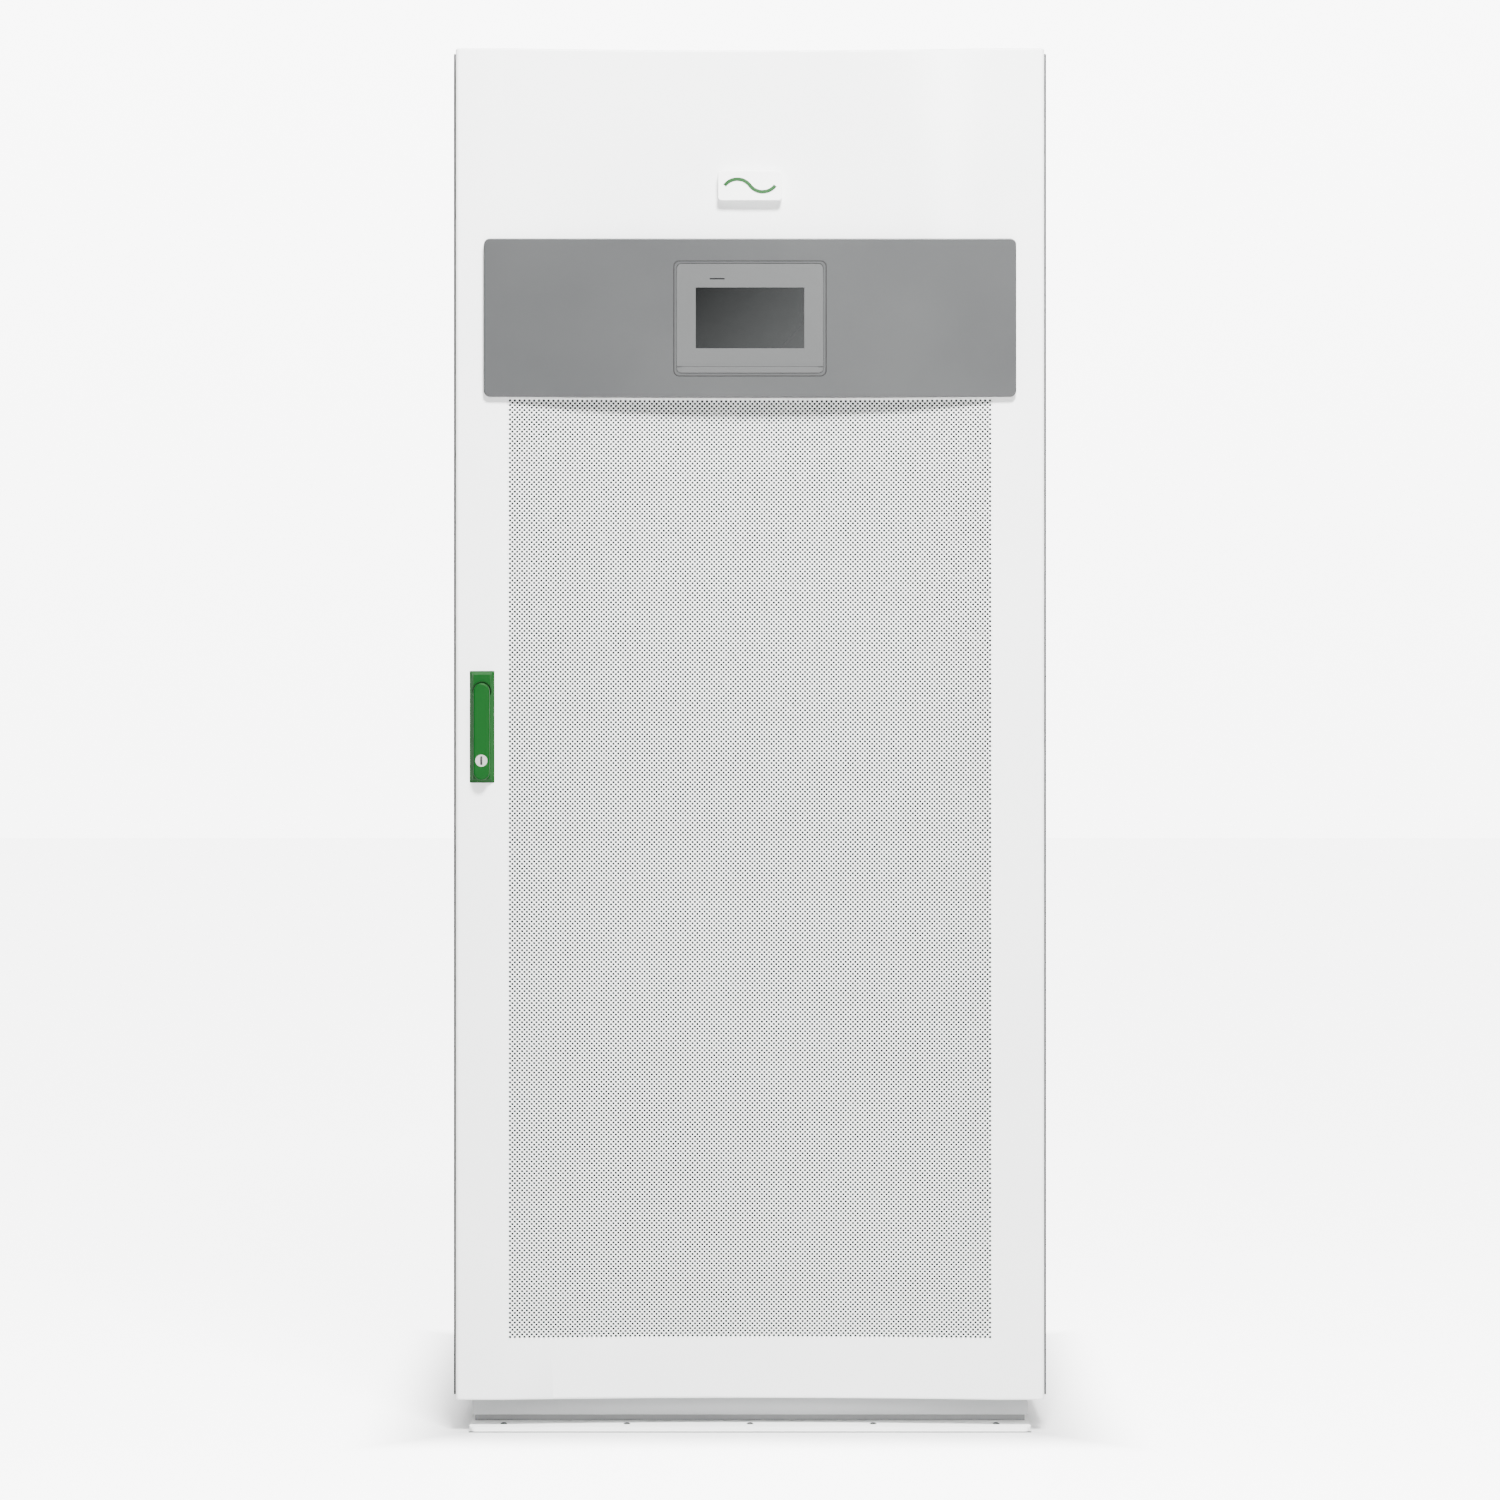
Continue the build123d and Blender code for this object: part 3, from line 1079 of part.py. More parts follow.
# Lock cylinder with its keyway.
with BuildPart() as lock_cylinder:
    with BuildSketch(facing(LEVER_FACE_Y + LOCK_DEPTH - AXLE_GAP)):
        with Locations((HANDLE_X, LOCK_Z)):
            Circle(LOCK_D / 2)
    extrude(amount=LOCK_DEPTH - AXLE_GAP)
    with BuildSketch(facing(LEVER_FACE_Y)):
        with Locations((HANDLE_X, LOCK_Z)):
            Rectangle(KEYWAY_W, KEYWAY_H)
    extrude(amount=-KEYWAY_DEPTH, mode=Mode.SUBTRACT)
keep(lock_cylinder, "lock_cylinder")


# Latch rods: square bars on both sides of the pinion, each with a hook at its far end.
UP_ROD_X = (HANDLE_X - PITCH_R - ROD, HANDLE_X - PITCH_R)
DOWN_ROD_X = (HANDLE_X + PITCH_R, HANDLE_X + PITCH_R + ROD)
ROD_SPAN_Y = (ROD_Y0, ROD_Y0 + ROD)
HOOK_UP_X = (UP_ROD_X[1] + HOOK_GAP, UP_ROD_X[1] + HOOK_GAP + HOOK_W)
with BuildPart() as latch_rod_upper:
    block(UP_ROD_X, ROD_SPAN_Y, (PIVOT_Z - ROD_OVERLAP, HOOK_UP_Z))
    block((UP_ROD_X[0], HOOK_UP_X[1]), ROD_SPAN_Y, (HOOK_UP_Z - ROD, HOOK_UP_Z))
    block(HOOK_UP_X, (ROD_Y0, ROD_Y0 + HOOK_REACH), (HOOK_UP_Z - ROD, HOOK_UP_Z))
    block(
        HOOK_UP_X,
        (ROD_Y0 + HOOK_REACH - HOOK_T, ROD_Y0 + HOOK_REACH),
        (HOOK_UP_Z - ROD, HOOK_UP_Z + HOOK_FINGER),
    )
keep(latch_rod_upper, "latch_rod_upper")

with BuildPart() as latch_rod_lower:
    block(DOWN_ROD_X, ROD_SPAN_Y, (HOOK_DOWN_Z, PIVOT_Z + ROD_OVERLAP))
    block(DOWN_ROD_X, (ROD_Y0, ROD_Y0 + HOOK_REACH), (HOOK_DOWN_Z, HOOK_DOWN_Z + ROD))
    block(
        DOWN_ROD_X,
        (ROD_Y0 + HOOK_REACH - HOOK_T, ROD_Y0 + HOOK_REACH),
        (HOOK_DOWN_Z - HOOK_FINGER, HOOK_DOWN_Z + ROD),
    )
keep(latch_rod_lower, "latch_rod_lower")


# Catches on the front left post: hooked plates that the rod fingers stand behind.
def catch_profile(mid_x, tip_z, away):
    """A catch round the finger whose tongue edge is at tip_z; away is +1 up, -1 down."""
    finger_y0 = ROD_Y0 + HOOK_REACH - HOOK_T
    lip_y1 = finger_y0 - CATCH_GAP / 2
    lip_z = tip_z + away * CATCH_GAP
    top_z = tip_z + away * (HOOK_FINGER + CATCH_GAP)
    end_z = top_z + away * CATCH_T
    half = CATCH_W / 2
    block((mid_x - half, mid_x + half), (lip_y1 - CATCH_T, lip_y1), (lip_z, end_z))
    block((mid_x - half, mid_x + half), (lip_y1 - CATCH_T, FRAME_FRONT_Y), (top_z, end_z))
    root_z = end_z + away * ROD_TRAVEL
    block((mid_x - half, mid_x + half), (FRAME_FRONT_Y - CATCH_ROOT, FRAME_FRONT_Y), (top_z, root_z))


with BuildPart() as latch_catches:
    catch_profile((HOOK_UP_X[0] + HOOK_UP_X[1]) / 2, HOOK_UP_Z, 1)
    catch_profile((DOWN_ROD_X[0] + DOWN_ROD_X[1]) / 2, HOOK_DOWN_Z, -1)
keep(latch_catches, "latch_catches")

# Latch case: a pressed cover over the pinion, slotted for the rods.
with BuildPart() as latch_case:
    case_x = (HANDLE_X - CASE_W / 2, HANDLE_X + CASE_W / 2)
    case_y = (FRONT_Y + SKIN, FRONT_Y + SKIN + CASE_DEPTH)
    block(case_x, case_y, (PIVOT_Z - CASE_H / 2, PIVOT_Z + CASE_H / 2))
    block(
        (case_x[0] + CASE_WALL, case_x[1] - CASE_WALL),
        (case_y[0], case_y[1] - CASE_WALL),
        (PIVOT_Z - CASE_H / 2 + CASE_WALL, PIVOT_Z + CASE_H / 2 - CASE_WALL),
        Mode.SUBTRACT,
    )
    for rod_x, way in ((UP_ROD_X, 1), (DOWN_ROD_X, -1)):
        block(
            (rod_x[0] - TOGGLE_GAP, rod_x[1] + TOGGLE_GAP),
            (ROD_Y0 - TOGGLE_GAP, ROD_Y0 + ROD + TOGGLE_GAP),
            (PIVOT_Z, PIVOT_Z + way * CASE_H / 2),
            Mode.SUBTRACT,
        )
keep(latch_case, "latch_case")

# Rod guides: blocks on the back of the skin that the rods slide through.
with BuildPart() as rod_guides:
    for rod_x, guide_zs in ((UP_ROD_X, GUIDE_UP_ZS), (DOWN_ROD_X, GUIDE_DOWN_ZS)):
        for guide_z in guide_zs:
            block(
                (rod_x[0] - GUIDE_WALL, rod_x[1] + GUIDE_WALL),
                (FRONT_Y + SKIN, ROD_Y0 + ROD + GUIDE_WALL),
                (guide_z, guide_z + GUIDE_H),
            )
            block(
                (rod_x[0] - SEAT_GAP, rod_x[1] + SEAT_GAP),
                (ROD_Y0 - SEAT_GAP, ROD_Y0 + ROD + SEAT_GAP),
                (guide_z, guide_z + GUIDE_H),
                Mode.SUBTRACT,
            )
keep(rod_guides, "rod_guides")

# ================================================================ hinges
# Cabinet halves: a root plate on the post and an oblique arm that ends in a barrel.
ARM_ROOT = (FRAME_X - HINGE_ROOT_W / 2, FRAME_FRONT_Y - HINGE_ROOT_T / 2)
ARM_DX = HINGE_X - ARM_ROOT[0]
ARM_DY = HINGE_Y - ARM_ROOT[1]
ARM_DEG = degrees(atan2(ARM_DY, ARM_DX))
ARM_L = (ARM_DX**2 + ARM_DY**2) ** 0.5
with BuildPart() as hinge_brackets:
    for hinge_z in HINGE_ZS:
        block(
            (FRAME_X - HINGE_ROOT_W, FRAME_X),
            (FRAME_FRONT_Y - HINGE_ROOT_T, FRAME_FRONT_Y),
            (hinge_z - HINGE_ROOT_H / 2, hinge_z + HINGE_ROOT_H / 2),
        )
        with BuildSketch(Plane.XY.offset(hinge_z - HINGE_MID_H / 2)):
            with Locations(Location(ARM_ROOT, ARM_DEG)):
                with Locations((ARM_L / 2, 0)):
                    Rectangle(ARM_L, HINGE_ARM_T)
            with Locations((HINGE_X, HINGE_Y)):
                Circle(HINGE_BARREL_D / 2)
                Circle(HINGE_PIN_D / 2 + RUN_FIT, mode=Mode.SUBTRACT)
        extrude(amount=HINGE_MID_H)
keep(hinge_brackets, "hinge_brackets")

# Door halves: a leaf on the inside of the door's edge with a barrel above and below.
LEAF_X1 = DOOR_X - SKIN
with BuildPart() as hinge_leaves:
    for hinge_z in HINGE_ZS:
        leaf_h = HINGE_MID_H / 2 + HINGE_GAP + HINGE_END_H
        block(
            (LEAF_X1 - LEAF_T, LEAF_X1),
            (FRONT_Y + LEAF_FRONT, HINGE_Y - HINGE_BARREL_D / 2 - HINGE_GAP),
            (hinge_z - leaf_h, hinge_z + leaf_h),
        )
        for end in (-1, 1):
            z0 = hinge_z + end * (HINGE_MID_H / 2 + HINGE_GAP)
            z1 = z0 + end * HINGE_END_H
            block((HINGE_X, LEAF_X1), (FRONT_Y + LEAF_FRONT, HINGE_Y + LEAF_BEHIND), (z0, z1))
            with Locations((HINGE_X, HINGE_Y, (z0 + z1) / 2)):
                Cylinder(HINGE_BARREL_D / 2, HINGE_END_H)
        with Locations((HINGE_X, HINGE_Y, hinge_z)):
            Cylinder(HINGE_PIN_D / 2, 2 * leaf_h, mode=Mode.SUBTRACT)
keep(hinge_leaves, "hinge_leaves")

# Headed hinge pins, fixed in the door halves.
with BuildPart() as hinge_pins:
    for hinge_z in HINGE_ZS:
        leaf_h = HINGE_MID_H / 2 + HINGE_GAP + HINGE_END_H
        with Locations((HINGE_X, HINGE_Y, hinge_z - leaf_h)):
            Cylinder(HINGE_PIN_D / 2, 2 * leaf_h, align=ON_FLOOR)
        with Locations((HINGE_X, HINGE_Y, hinge_z + leaf_h)):
            Cylinder(HINGE_PIN_HEAD_D / 2, HINGE_PIN_HEAD_H, align=ON_FLOOR)
keep(hinge_pins, "hinge_pins")
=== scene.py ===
import json

import bpy
import numpy as np
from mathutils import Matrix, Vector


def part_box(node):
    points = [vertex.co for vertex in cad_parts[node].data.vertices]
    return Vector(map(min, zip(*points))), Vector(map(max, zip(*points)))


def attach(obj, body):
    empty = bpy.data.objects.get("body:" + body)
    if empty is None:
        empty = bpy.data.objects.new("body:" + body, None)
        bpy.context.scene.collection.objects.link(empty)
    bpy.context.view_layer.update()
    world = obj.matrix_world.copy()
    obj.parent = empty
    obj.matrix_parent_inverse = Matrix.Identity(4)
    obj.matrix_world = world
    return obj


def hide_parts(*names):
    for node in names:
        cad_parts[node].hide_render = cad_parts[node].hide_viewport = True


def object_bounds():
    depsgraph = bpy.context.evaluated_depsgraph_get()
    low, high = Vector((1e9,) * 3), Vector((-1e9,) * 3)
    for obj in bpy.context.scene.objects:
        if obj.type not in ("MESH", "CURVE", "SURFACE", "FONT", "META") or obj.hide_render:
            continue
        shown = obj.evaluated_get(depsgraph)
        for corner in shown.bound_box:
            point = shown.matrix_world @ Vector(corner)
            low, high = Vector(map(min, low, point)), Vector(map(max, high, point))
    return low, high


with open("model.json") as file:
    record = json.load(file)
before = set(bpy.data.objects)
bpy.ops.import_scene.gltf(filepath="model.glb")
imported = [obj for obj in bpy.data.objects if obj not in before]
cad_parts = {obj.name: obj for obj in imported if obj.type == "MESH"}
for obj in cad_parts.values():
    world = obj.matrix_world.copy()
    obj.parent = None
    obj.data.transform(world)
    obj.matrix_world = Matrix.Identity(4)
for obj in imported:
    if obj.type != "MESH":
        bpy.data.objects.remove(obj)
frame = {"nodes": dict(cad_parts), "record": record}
size_at_load = [list(corner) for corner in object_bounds()]


# ---------------------------------------------------------------- outer panels
# The side, rear and roof panels are folded sheet steel with a white powder coat.
# They hang on the frame and are screwed on from behind; the CAD pieces are shown as they are.
def rgb(code):
    """The linear colour of a hex sRGB code: each channel is undone with the sRGB curve."""
    channels = [int(code[i : i + 2], 16) / 255 for i in (1, 3, 5)]
    return [c / 12.92 if c <= 0.04045 else ((c + 0.055) / 1.055) ** 2.4 for c in channels] + [1.0]


def add(tree, kind, sockets=None, **settings):
    """One node in the tree; sockets take numbers, colours or another node's output."""
    node = tree.nodes.new(kind)
    for name, value in settings.items():
        setattr(node, name, value)
    for name, value in (sockets or {}).items():
        if isinstance(value, bpy.types.NodeSocket):
            tree.links.new(value, node.inputs[name])
        else:
            node.inputs[name].default_value = value
    return node


FINE_SHARE = 0.4  # how much of the fine pattern joins the broad cloud
PATTERN_SPAN = {"From Min": 0.45, "From Max": 0.95}  # where the joined pattern starts and ends


def finish(
    name, low, high, rough, grain, relief=0.0, cloud=350.0, stretch=(1, 1, 1), cells=False, **shader
):
    """A material between two close colours and two roughness values, sizes in millimetres.

    A fine pattern of that grain, noise or cells, raises a relief and shifts the roughness,
    and a broad cloud shifts the colour with it. Stretch draws the grain out along an axis.
    """
    material = bpy.data.materials.new(name)
    material.use_nodes = True
    tree = material.node_tree
    tree.nodes.clear()
    place = add(tree, "ShaderNodeTexCoord").outputs["Object"]
    shrink = [1 / s for s in stretch]
    drawn = add(tree, "ShaderNodeMapping", {"Vector": place, "Scale": shrink}).outputs[0]
    if cells:
        fine = add(tree, "ShaderNodeTexVoronoi", {"Vector": drawn, "Scale": 1000 / grain})
        fine = fine.outputs["Distance"]
    else:
        fine = add(tree, "ShaderNodeTexNoise", {"Vector": drawn, "Scale": 1000 / grain, "Detail": 3.0})
        fine = fine.outputs["Fac"]
    broad = add(tree, "ShaderNodeTexNoise", {"Vector": place, "Scale": 1000 / cloud, "Detail": 4.0})
    mixed = {0: fine, 1: FINE_SHARE, 2: broad.outputs["Fac"]}
    both = add(tree, "ShaderNodeMath", mixed, operation="MULTIPLY_ADD").outputs[0]
    share = add(tree, "ShaderNodeMapRange", {"Value": both, **PATTERN_SPAN}).outputs[0]
    colour = add(tree, "ShaderNodeMix", {0: share, 6: rgb(low), 7: rgb(high)}, data_type="RGBA").outputs[2]
    gloss = {"Value": both, **PATTERN_SPAN, "To Min": rough[0], "To Max": rough[1]}
    sheen = add(tree, "ShaderNodeMapRange", gloss).outputs[0]
    bump = add(tree, "ShaderNodeBump", {"Height": fine, "Distance": relief / 1000}).outputs[0]
    sockets = {"Base Color": colour, "Roughness": sheen, "Normal": bump}
    sockets.update({key.replace("_", " "): value for key, value in shader.items()})
    skin = add(tree, "ShaderNodeBsdfPrincipled", sockets).outputs[0]
    add(tree, "ShaderNodeOutputMaterial", {"Surface": skin})
    return material


def dress(slot, material):
    """Gives every CAD node of that material slot its finish."""
    for part in frame["record"]["subparts"]:
        if part["material_slot"] == slot:
            node = frame["nodes"][part["node"]]
            node.data.materials.clear()
            node.data.materials.append(material)


# White polyester powder coat on sheet steel: faint orange peel, so its satin light is soft-edged.
white_coat = finish("white_powder_coat", "#E7E8E8", "#EEEFEE", (0.38, 0.50), 1.6, 0.03)
dress("cabinet_paint", white_coat)

# ---------------------------------------------------------------- door skin
# One folded steel sheet with a concave middle; punched holes fill the field below the display.
# The solid surround keeps the CAD outline, and the field is eight perforated bands, one on another.
SKIN = 0.002  # the thickness of the sheet
FIELD_X = 0.345  # half the width of the field
FIELD_Z = (0.132, 1.472)
HOLE_R = 0.002  # from the middle of a hole to its corners
COLUMNS = 202  # half pitches across the field
BAND_ROWS = 49  # half pitches up each band
BANDS = 8
CREASE_X = 0.350  # half the width of the concave middle
SAGITTA = 0.019  # how deep it is


def arc_depth(x):
    """How far the concave middle lies behind the flat strips: a circle through both creases."""
    radius = (CREASE_X**2 + SAGITTA**2) / (2 * SAGITTA)
    return np.sqrt(radius**2 - x**2) - radius + SAGITTA


def piece(name, points, faces, body, material, smooth=None):
    """A mesh object from points and faces (one array per face size) that rides on a body.

    Faces are turned round together if the volume they enclose comes out negative: that
    volume is a sixth of the sum of every fan triangle's triple product.
    """
    volume = 0.0
    for f in faces:
        for k in range(1, f.shape[1] - 1):
            one, two, three = points[f[:, 0]], points[f[:, k]], points[f[:, k + 1]]
            volume += (one * np.cross(two, three)).sum() / 6
    if volume < 0:
        faces = [f[:, ::-1] for f in faces]
    mesh = bpy.data.meshes.new(name)
    corners = np.concatenate([f.ravel() for f in faces]).astype(np.int32)
    sizes = np.concatenate([np.full(len(f), f.shape[1]) for f in faces])
    used, corners = np.unique(corners, return_inverse=True)
    mesh.vertices.add(len(used))
    mesh.vertices.foreach_set("co", points[used].astype(np.float32).ravel())
    mesh.loops.add(len(corners))
    mesh.loops.foreach_set("vertex_index", corners.astype(np.int32).ravel())
    mesh.polygons.add(len(sizes))
    mesh.polygons.foreach_set("loop_start", (np.cumsum(sizes) - sizes).astype(np.int32))
    mesh.update(calc_edges=True)
    mesh.validate()
    mesh.materials.append(material)
    if smooth is not None:
        mesh.polygons.foreach_set("use_smooth", np.ones(len(sizes), bool))
        mesh.set_sharp_from_angle(angle=np.radians(smooth))
    obj = bpy.data.objects.new(name, mesh)
    bpy.context.scene.collection.objects.link(obj)
    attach(obj, body)
    return obj


def thicken(front, back, faces):
    """Points and faces of a closed sheet: the front faces, the same faces turned round on the
    back points, and a wall along every edge that only one front face uses."""
    count = len(front)
    starts = np.concatenate([f.ravel() for f in faces])
    ends = np.concatenate([np.roll(f, -1, 1).ravel() for f in faces])
    key = np.minimum(starts, ends) * count + np.maximum(starts, ends)
    first, times = np.unique(key, return_index=True, return_counts=True)[1:]
    rim = first[times == 1]
    wall = np.stack([ends[rim], starts[rim], starts[rim] + count, ends[rim] + count], 1)
    return np.vstack([front, back]), [*faces, *[f[:, ::-1] + count for f in faces], wall]


def loft(sections, closed=False):
    """Points and faces of a solid through sections of equal point count, one after another.

    The first and last sections are capped, or joined to each other when it is closed.
    """
    count, around = sections.shape[:2]
    index = np.arange(count * around).reshape(count, around)
    low = index if closed else index[:-1]
    high = np.roll(index, -1, 0) if closed else index[1:]
    sides = np.stack([low, np.roll(low, -1, 1), np.roll(high, -1, 1), high], -1).reshape(-1, 4)
    caps = [] if closed else [index[:1, ::-1], index[-1:]]
    return sections.reshape(-1, 3), [sides, *caps]


def copies(shape, places):
    """The points and faces of a shape repeated with its origin at each place."""
    points, faces = shape
    places = np.asarray(places, float)
    shift = (np.arange(len(places)) * len(points))[:, None, None]
    everywhere = (points[None] + places[:, None]).reshape(-1, 3)
    return everywhere, [(f[None] + shift).reshape(-1, f.shape[1]) for f in faces]


def together(*shapes):
    """Several shapes as one set of points and faces."""
    starts = np.cumsum([0] + [len(points) for points, faces in shapes])
    faces = [f + start for (points, some), start in zip(shapes, starts) for f in some]
    return np.vstack([points for points, some in shapes]), faces


def perforated(row0, row1):
    """Front points and faces of the field between two rows of half pitches.

    Holes and web nodes alternate like the squares of a chessboard. Every hole has eight
    corners, a web joins two holes on the diagonal, and a node is the eight-sided patch
    between four holes. Corners past the edge are held at the edge, and holes that are
    centred on the edge of the whole field are filled.
    """
    columns, rows = np.meshgrid(np.arange(-1, COLUMNS + 2), np.arange(row0 - 1, row1 + 2))
    turn = np.radians(22.5 + 45 * np.arange(8))
    step_z = (FIELD_Z[1] - FIELD_Z[0]) / (BAND_ROWS * BANDS)
    x = (columns[..., None] * 2 / COLUMNS - 1) * FIELD_X + HOLE_R * np.cos(turn)
    z = FIELD_Z[0] + rows[..., None] * step_z + HOLE_R * np.sin(turn)
    x = np.clip(x, -FIELD_X, FIELD_X)
    z = np.clip(z, FIELD_Z[0] + row0 * step_z, FIELD_Z[0] + row1 * step_z)
    points = np.stack([x, arc_depth(x), z], -1).reshape(-1, 3)
    corner = np.arange(len(points)).reshape(*columns.shape, 8)
    inside = (columns >= 0) & (columns <= COLUMNS) & (rows >= row0) & (rows <= row1)
    even = (columns + rows) % 2 == 0
    node = np.argwhere(inside & ~even)
    r, c = node.T
    patch = np.stack(
        [
            *(corner[r, c + 1, 4], corner[r, c + 1, 3]),
            *(corner[r + 1, c, 6], corner[r + 1, c, 5]),
            *(corner[r, c - 1, 0], corner[r, c - 1, 7]),
            *(corner[r - 1, c, 2], corner[r - 1, c, 1]),
        ],
        1,
    )
    r, c = np.argwhere(inside & even & (columns < COLUMNS) & (rows < row1)).T
    above = corner[r + 1, c + 1]
    rising = np.stack([corner[r, c, 0], above[:, 5], above[:, 4], corner[r, c, 1]], 1)
    r, c = np.argwhere(inside & even & (columns > 0) & (rows < row1)).T
    above = corner[r + 1, c - 1]
    falling = np.stack([corner[r, c, 2], above[:, 7], above[:, 6], corner[r, c, 3]], 1)
    border = (columns == 0) | (columns == COLUMNS) | (rows == 0) | (rows == BAND_ROWS * BANDS)
    r, c = np.argwhere(inside & even & border).T
    return points, [patch, rising, falling, corner[r, c]]


front_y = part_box("door_skin")[0].y
for band in range(BANDS):
    points, faces = perforated(band * BAND_ROWS, (band + 1) * BAND_ROWS)
    points = points + [0, front_y, 0]
    solid, faces = thicken(points, points + [0, SKIN, 0], faces)
    sheet = piece(f"door_mesh_{band + 1}", solid, faces, "door", white_coat)
    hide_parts("door_skin")

# The surround is the CAD skin with a window cut out where the perforated field sits.
BOX_FACES = np.array(
    [[0, 1, 3, 2], [4, 6, 7, 5], [0, 4, 5, 1], [2, 3, 7, 6], [0, 2, 6, 4], [1, 5, 7, 3]]
)
WINDOW_Y = (-0.01, 0.03)  # the cut starts before the skin and ends behind it


def box_points(x, y, z):
    """The eight corners of a box between three pairs of limits."""
    return np.array([[a, b, c] for a in x for b in y for c in z], float)


def without(name, node, window, body, material):
    """A copy of a CAD node's mesh, welded, with a box-shaped window cut right through it."""
    obj = bpy.data.objects.new(name, frame["nodes"][node].data.copy())
    bpy.context.scene.collection.objects.link(obj)
    cutter_mesh = bpy.data.meshes.new(name + "_window")
    cutter_mesh.from_pydata(window.tolist(), [], BOX_FACES.tolist())
    cutter = bpy.data.objects.new(name + "_window", cutter_mesh)
    bpy.context.scene.collection.objects.link(cutter)
    weld = obj.modifiers.new("weld", "WELD")
    weld.merge_threshold = 1e-6
    cut = obj.modifiers.new("cut", "BOOLEAN")
    cut.operation = "DIFFERENCE"
    cut.object = cutter
    evaluated = obj.evaluated_get(bpy.context.evaluated_depsgraph_get())
    mesh = bpy.data.meshes.new_from_object(evaluated)
    obj.modifiers.clear()
    obj.data = mesh
    bpy.data.objects.remove(cutter)
    mesh.name = name
    mesh.materials.clear()
    mesh.materials.append(material)
    mesh.polygons.foreach_set("use_smooth", np.ones(len(mesh.polygons), bool))
    mesh.set_sharp_from_angle(angle=np.radians(25))
    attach(obj, body)
    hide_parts(node)
    return obj


window = box_points((-FIELD_X, FIELD_X), (front_y + WINDOW_Y[0], front_y + WINDOW_Y[1]), FIELD_Z)
without("door_surround", "door_skin", window, "door", white_coat)

# ---------------------------------------------------------------- plinth and floor brackets
# A welded channel ring in pale grey coat, painted darker as the shade that falls on it under the door, and
# two white brackets that bolt it to the floor.
# The brackets are bent plate with a row of five anchor holes.
# Pale grey coat, a little rougher than the white one: flat and even, with hardly a highlight. Its grey is
# darkened past the real coat as painted shade for the recess under the door.
dress("plinth_paint", finish("grey_coat_painted_shade", "#A9AAAB", "#B3B4B5", (0.42, 0.55), 1.8, 0.03))
# The whitest coat on the object, so the lip of the bracket catches a bright edge.
dress("bracket_paint", finish("bracket_powder_coat", "#ECEDEC", "#F4F4F3", (0.40, 0.52), 1.6, 0.03))

# ---------------------------------------------------------------- frame, shelves and fixings
# Posts, rails, shelves and the fan tray are bare galvanised sheet with a cellular spangle.
# Screws, bolts, hinge pins and feet are bright zinc plate.
# Zinc crystals from the hot bath: patches of two close greys that catch the light apart.
spangle = finish("galvanised_sheet", "#A9ADB0", "#C2C5C7", (0.32, 0.52), 9.0, 0.0, cells=True, Metallic=1.0)
dress("galvanised", spangle)
# Plated zinc: cool, bright and nearly smooth, with small sharp highlights.
zinc = finish("bright_zinc_plate", "#B9BDC2", "#D0D3D6", (0.22, 0.38), 2.5, 0.01, Metallic=1.0)
dress("zinc_steel", zinc)


# Flanged button-head screws with a hexagon socket, ten in the rear panel, eight in the roof.
SCREW_R = 0.0055
REAR_SCREW_H = 0.003
ROOF_SCREW_H = 0.002
REAR_INSET = 0.012  # from the edge of the rear panel
ROOF_INSET = 0.0075  # from the edge of the grille and of the gland plate


def screw(radius, height, around=24):
    """A button head that stands on the origin and looks along +Z.

    Each section is a circle, given as a share of the radius and of the height, and the last
    two are hexagons: the distance to a flat side is the same all round, so the radius is
    that distance over the cosine of the angle from the middle of the side.
    """
    turn = np.arange(around) * 2 * np.pi / around
    hexagon = 0.36 * radius / np.cos((turn + np.pi / 6) % (np.pi / 3) - np.pi / 6)
    circle = np.ones(around)
    rows = [
        (circle * radius, 0.0),
        (circle * radius, 0.28),
        (circle * radius * 0.84, 0.42),
        (circle * radius * 0.70, 0.86),
        (circle * radius * 0.50, 1.0),
        (hexagon, 1.0),
        (hexagon, 0.35),
    ]
    sections = [np.stack([r * np.cos(turn), r * np.sin(turn), circle * z * height], 1) for r, z in rows]
    return loft(np.array(sections))


def corners_of(node, inset, rows=2):
    """Two columns of places inside a node's box, seen along its thinnest direction."""
    low, high = (np.array(c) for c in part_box(node))
    thin = int(np.argmin(high - low))
    first, second = [axis for axis in range(3) if axis != thin]
    places = []
    for a in (low[first] + inset, high[first] - inset):
        for b in np.linspace(low[second] + inset, high[second] - inset, rows):
            place = np.zeros(3)
            place[[first, second, thin]] = a, b, high[thin]
            places.append(place)
    return places


points, faces = screw(SCREW_R, REAR_SCREW_H)
rear_heads = copies((points[:, [0, 2, 1]], faces), corners_of("rear_panel", REAR_INSET, rows=5))
roof_places = corners_of("roof_grille", ROOF_INSET) + corners_of("gland_plate", ROOF_INSET)
roof_heads = copies(screw(SCREW_R, ROOF_SCREW_H), roof_places)
for (points, faces), name in ((rear_heads, "rear_screws"), (roof_heads, "roof_screws")):
    screws = piece(name, points, faces, "cabinet", zinc, smooth=35)
    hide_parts("panel_screws")


# A mid grey strip in the gap between the plinth rail and the floor bracket: painted shade, a dark sheet
# standing in for the shade in that gap.
STRIP_INSET = 0.004
STRIP_Y = (0.001, 0.006)  # behind the front of the plinth
STRIP_FOOT = 0.0078
STRIP_ROUND = 0.0012


def rounded(half_x, half_z, radius, around=8):
    """A rectangle with round corners in the XZ plane.

    Each quarter circle stands on the middle of its corner, one radius inside both sides.
    """
    turn = (np.arange(4)[:, None] + np.linspace(0, 1, around)[None]) * np.pi / 2
    sign_x, sign_z = np.array([1, -1, -1, 1])[:, None], np.array([1, 1, -1, -1])[:, None]
    x = (sign_x * (half_x - radius) + radius * np.cos(turn)).ravel()
    z = (sign_z * (half_z - radius) + radius * np.sin(turn)).ravel()
    return np.stack([x, 0 * x, z], 1)


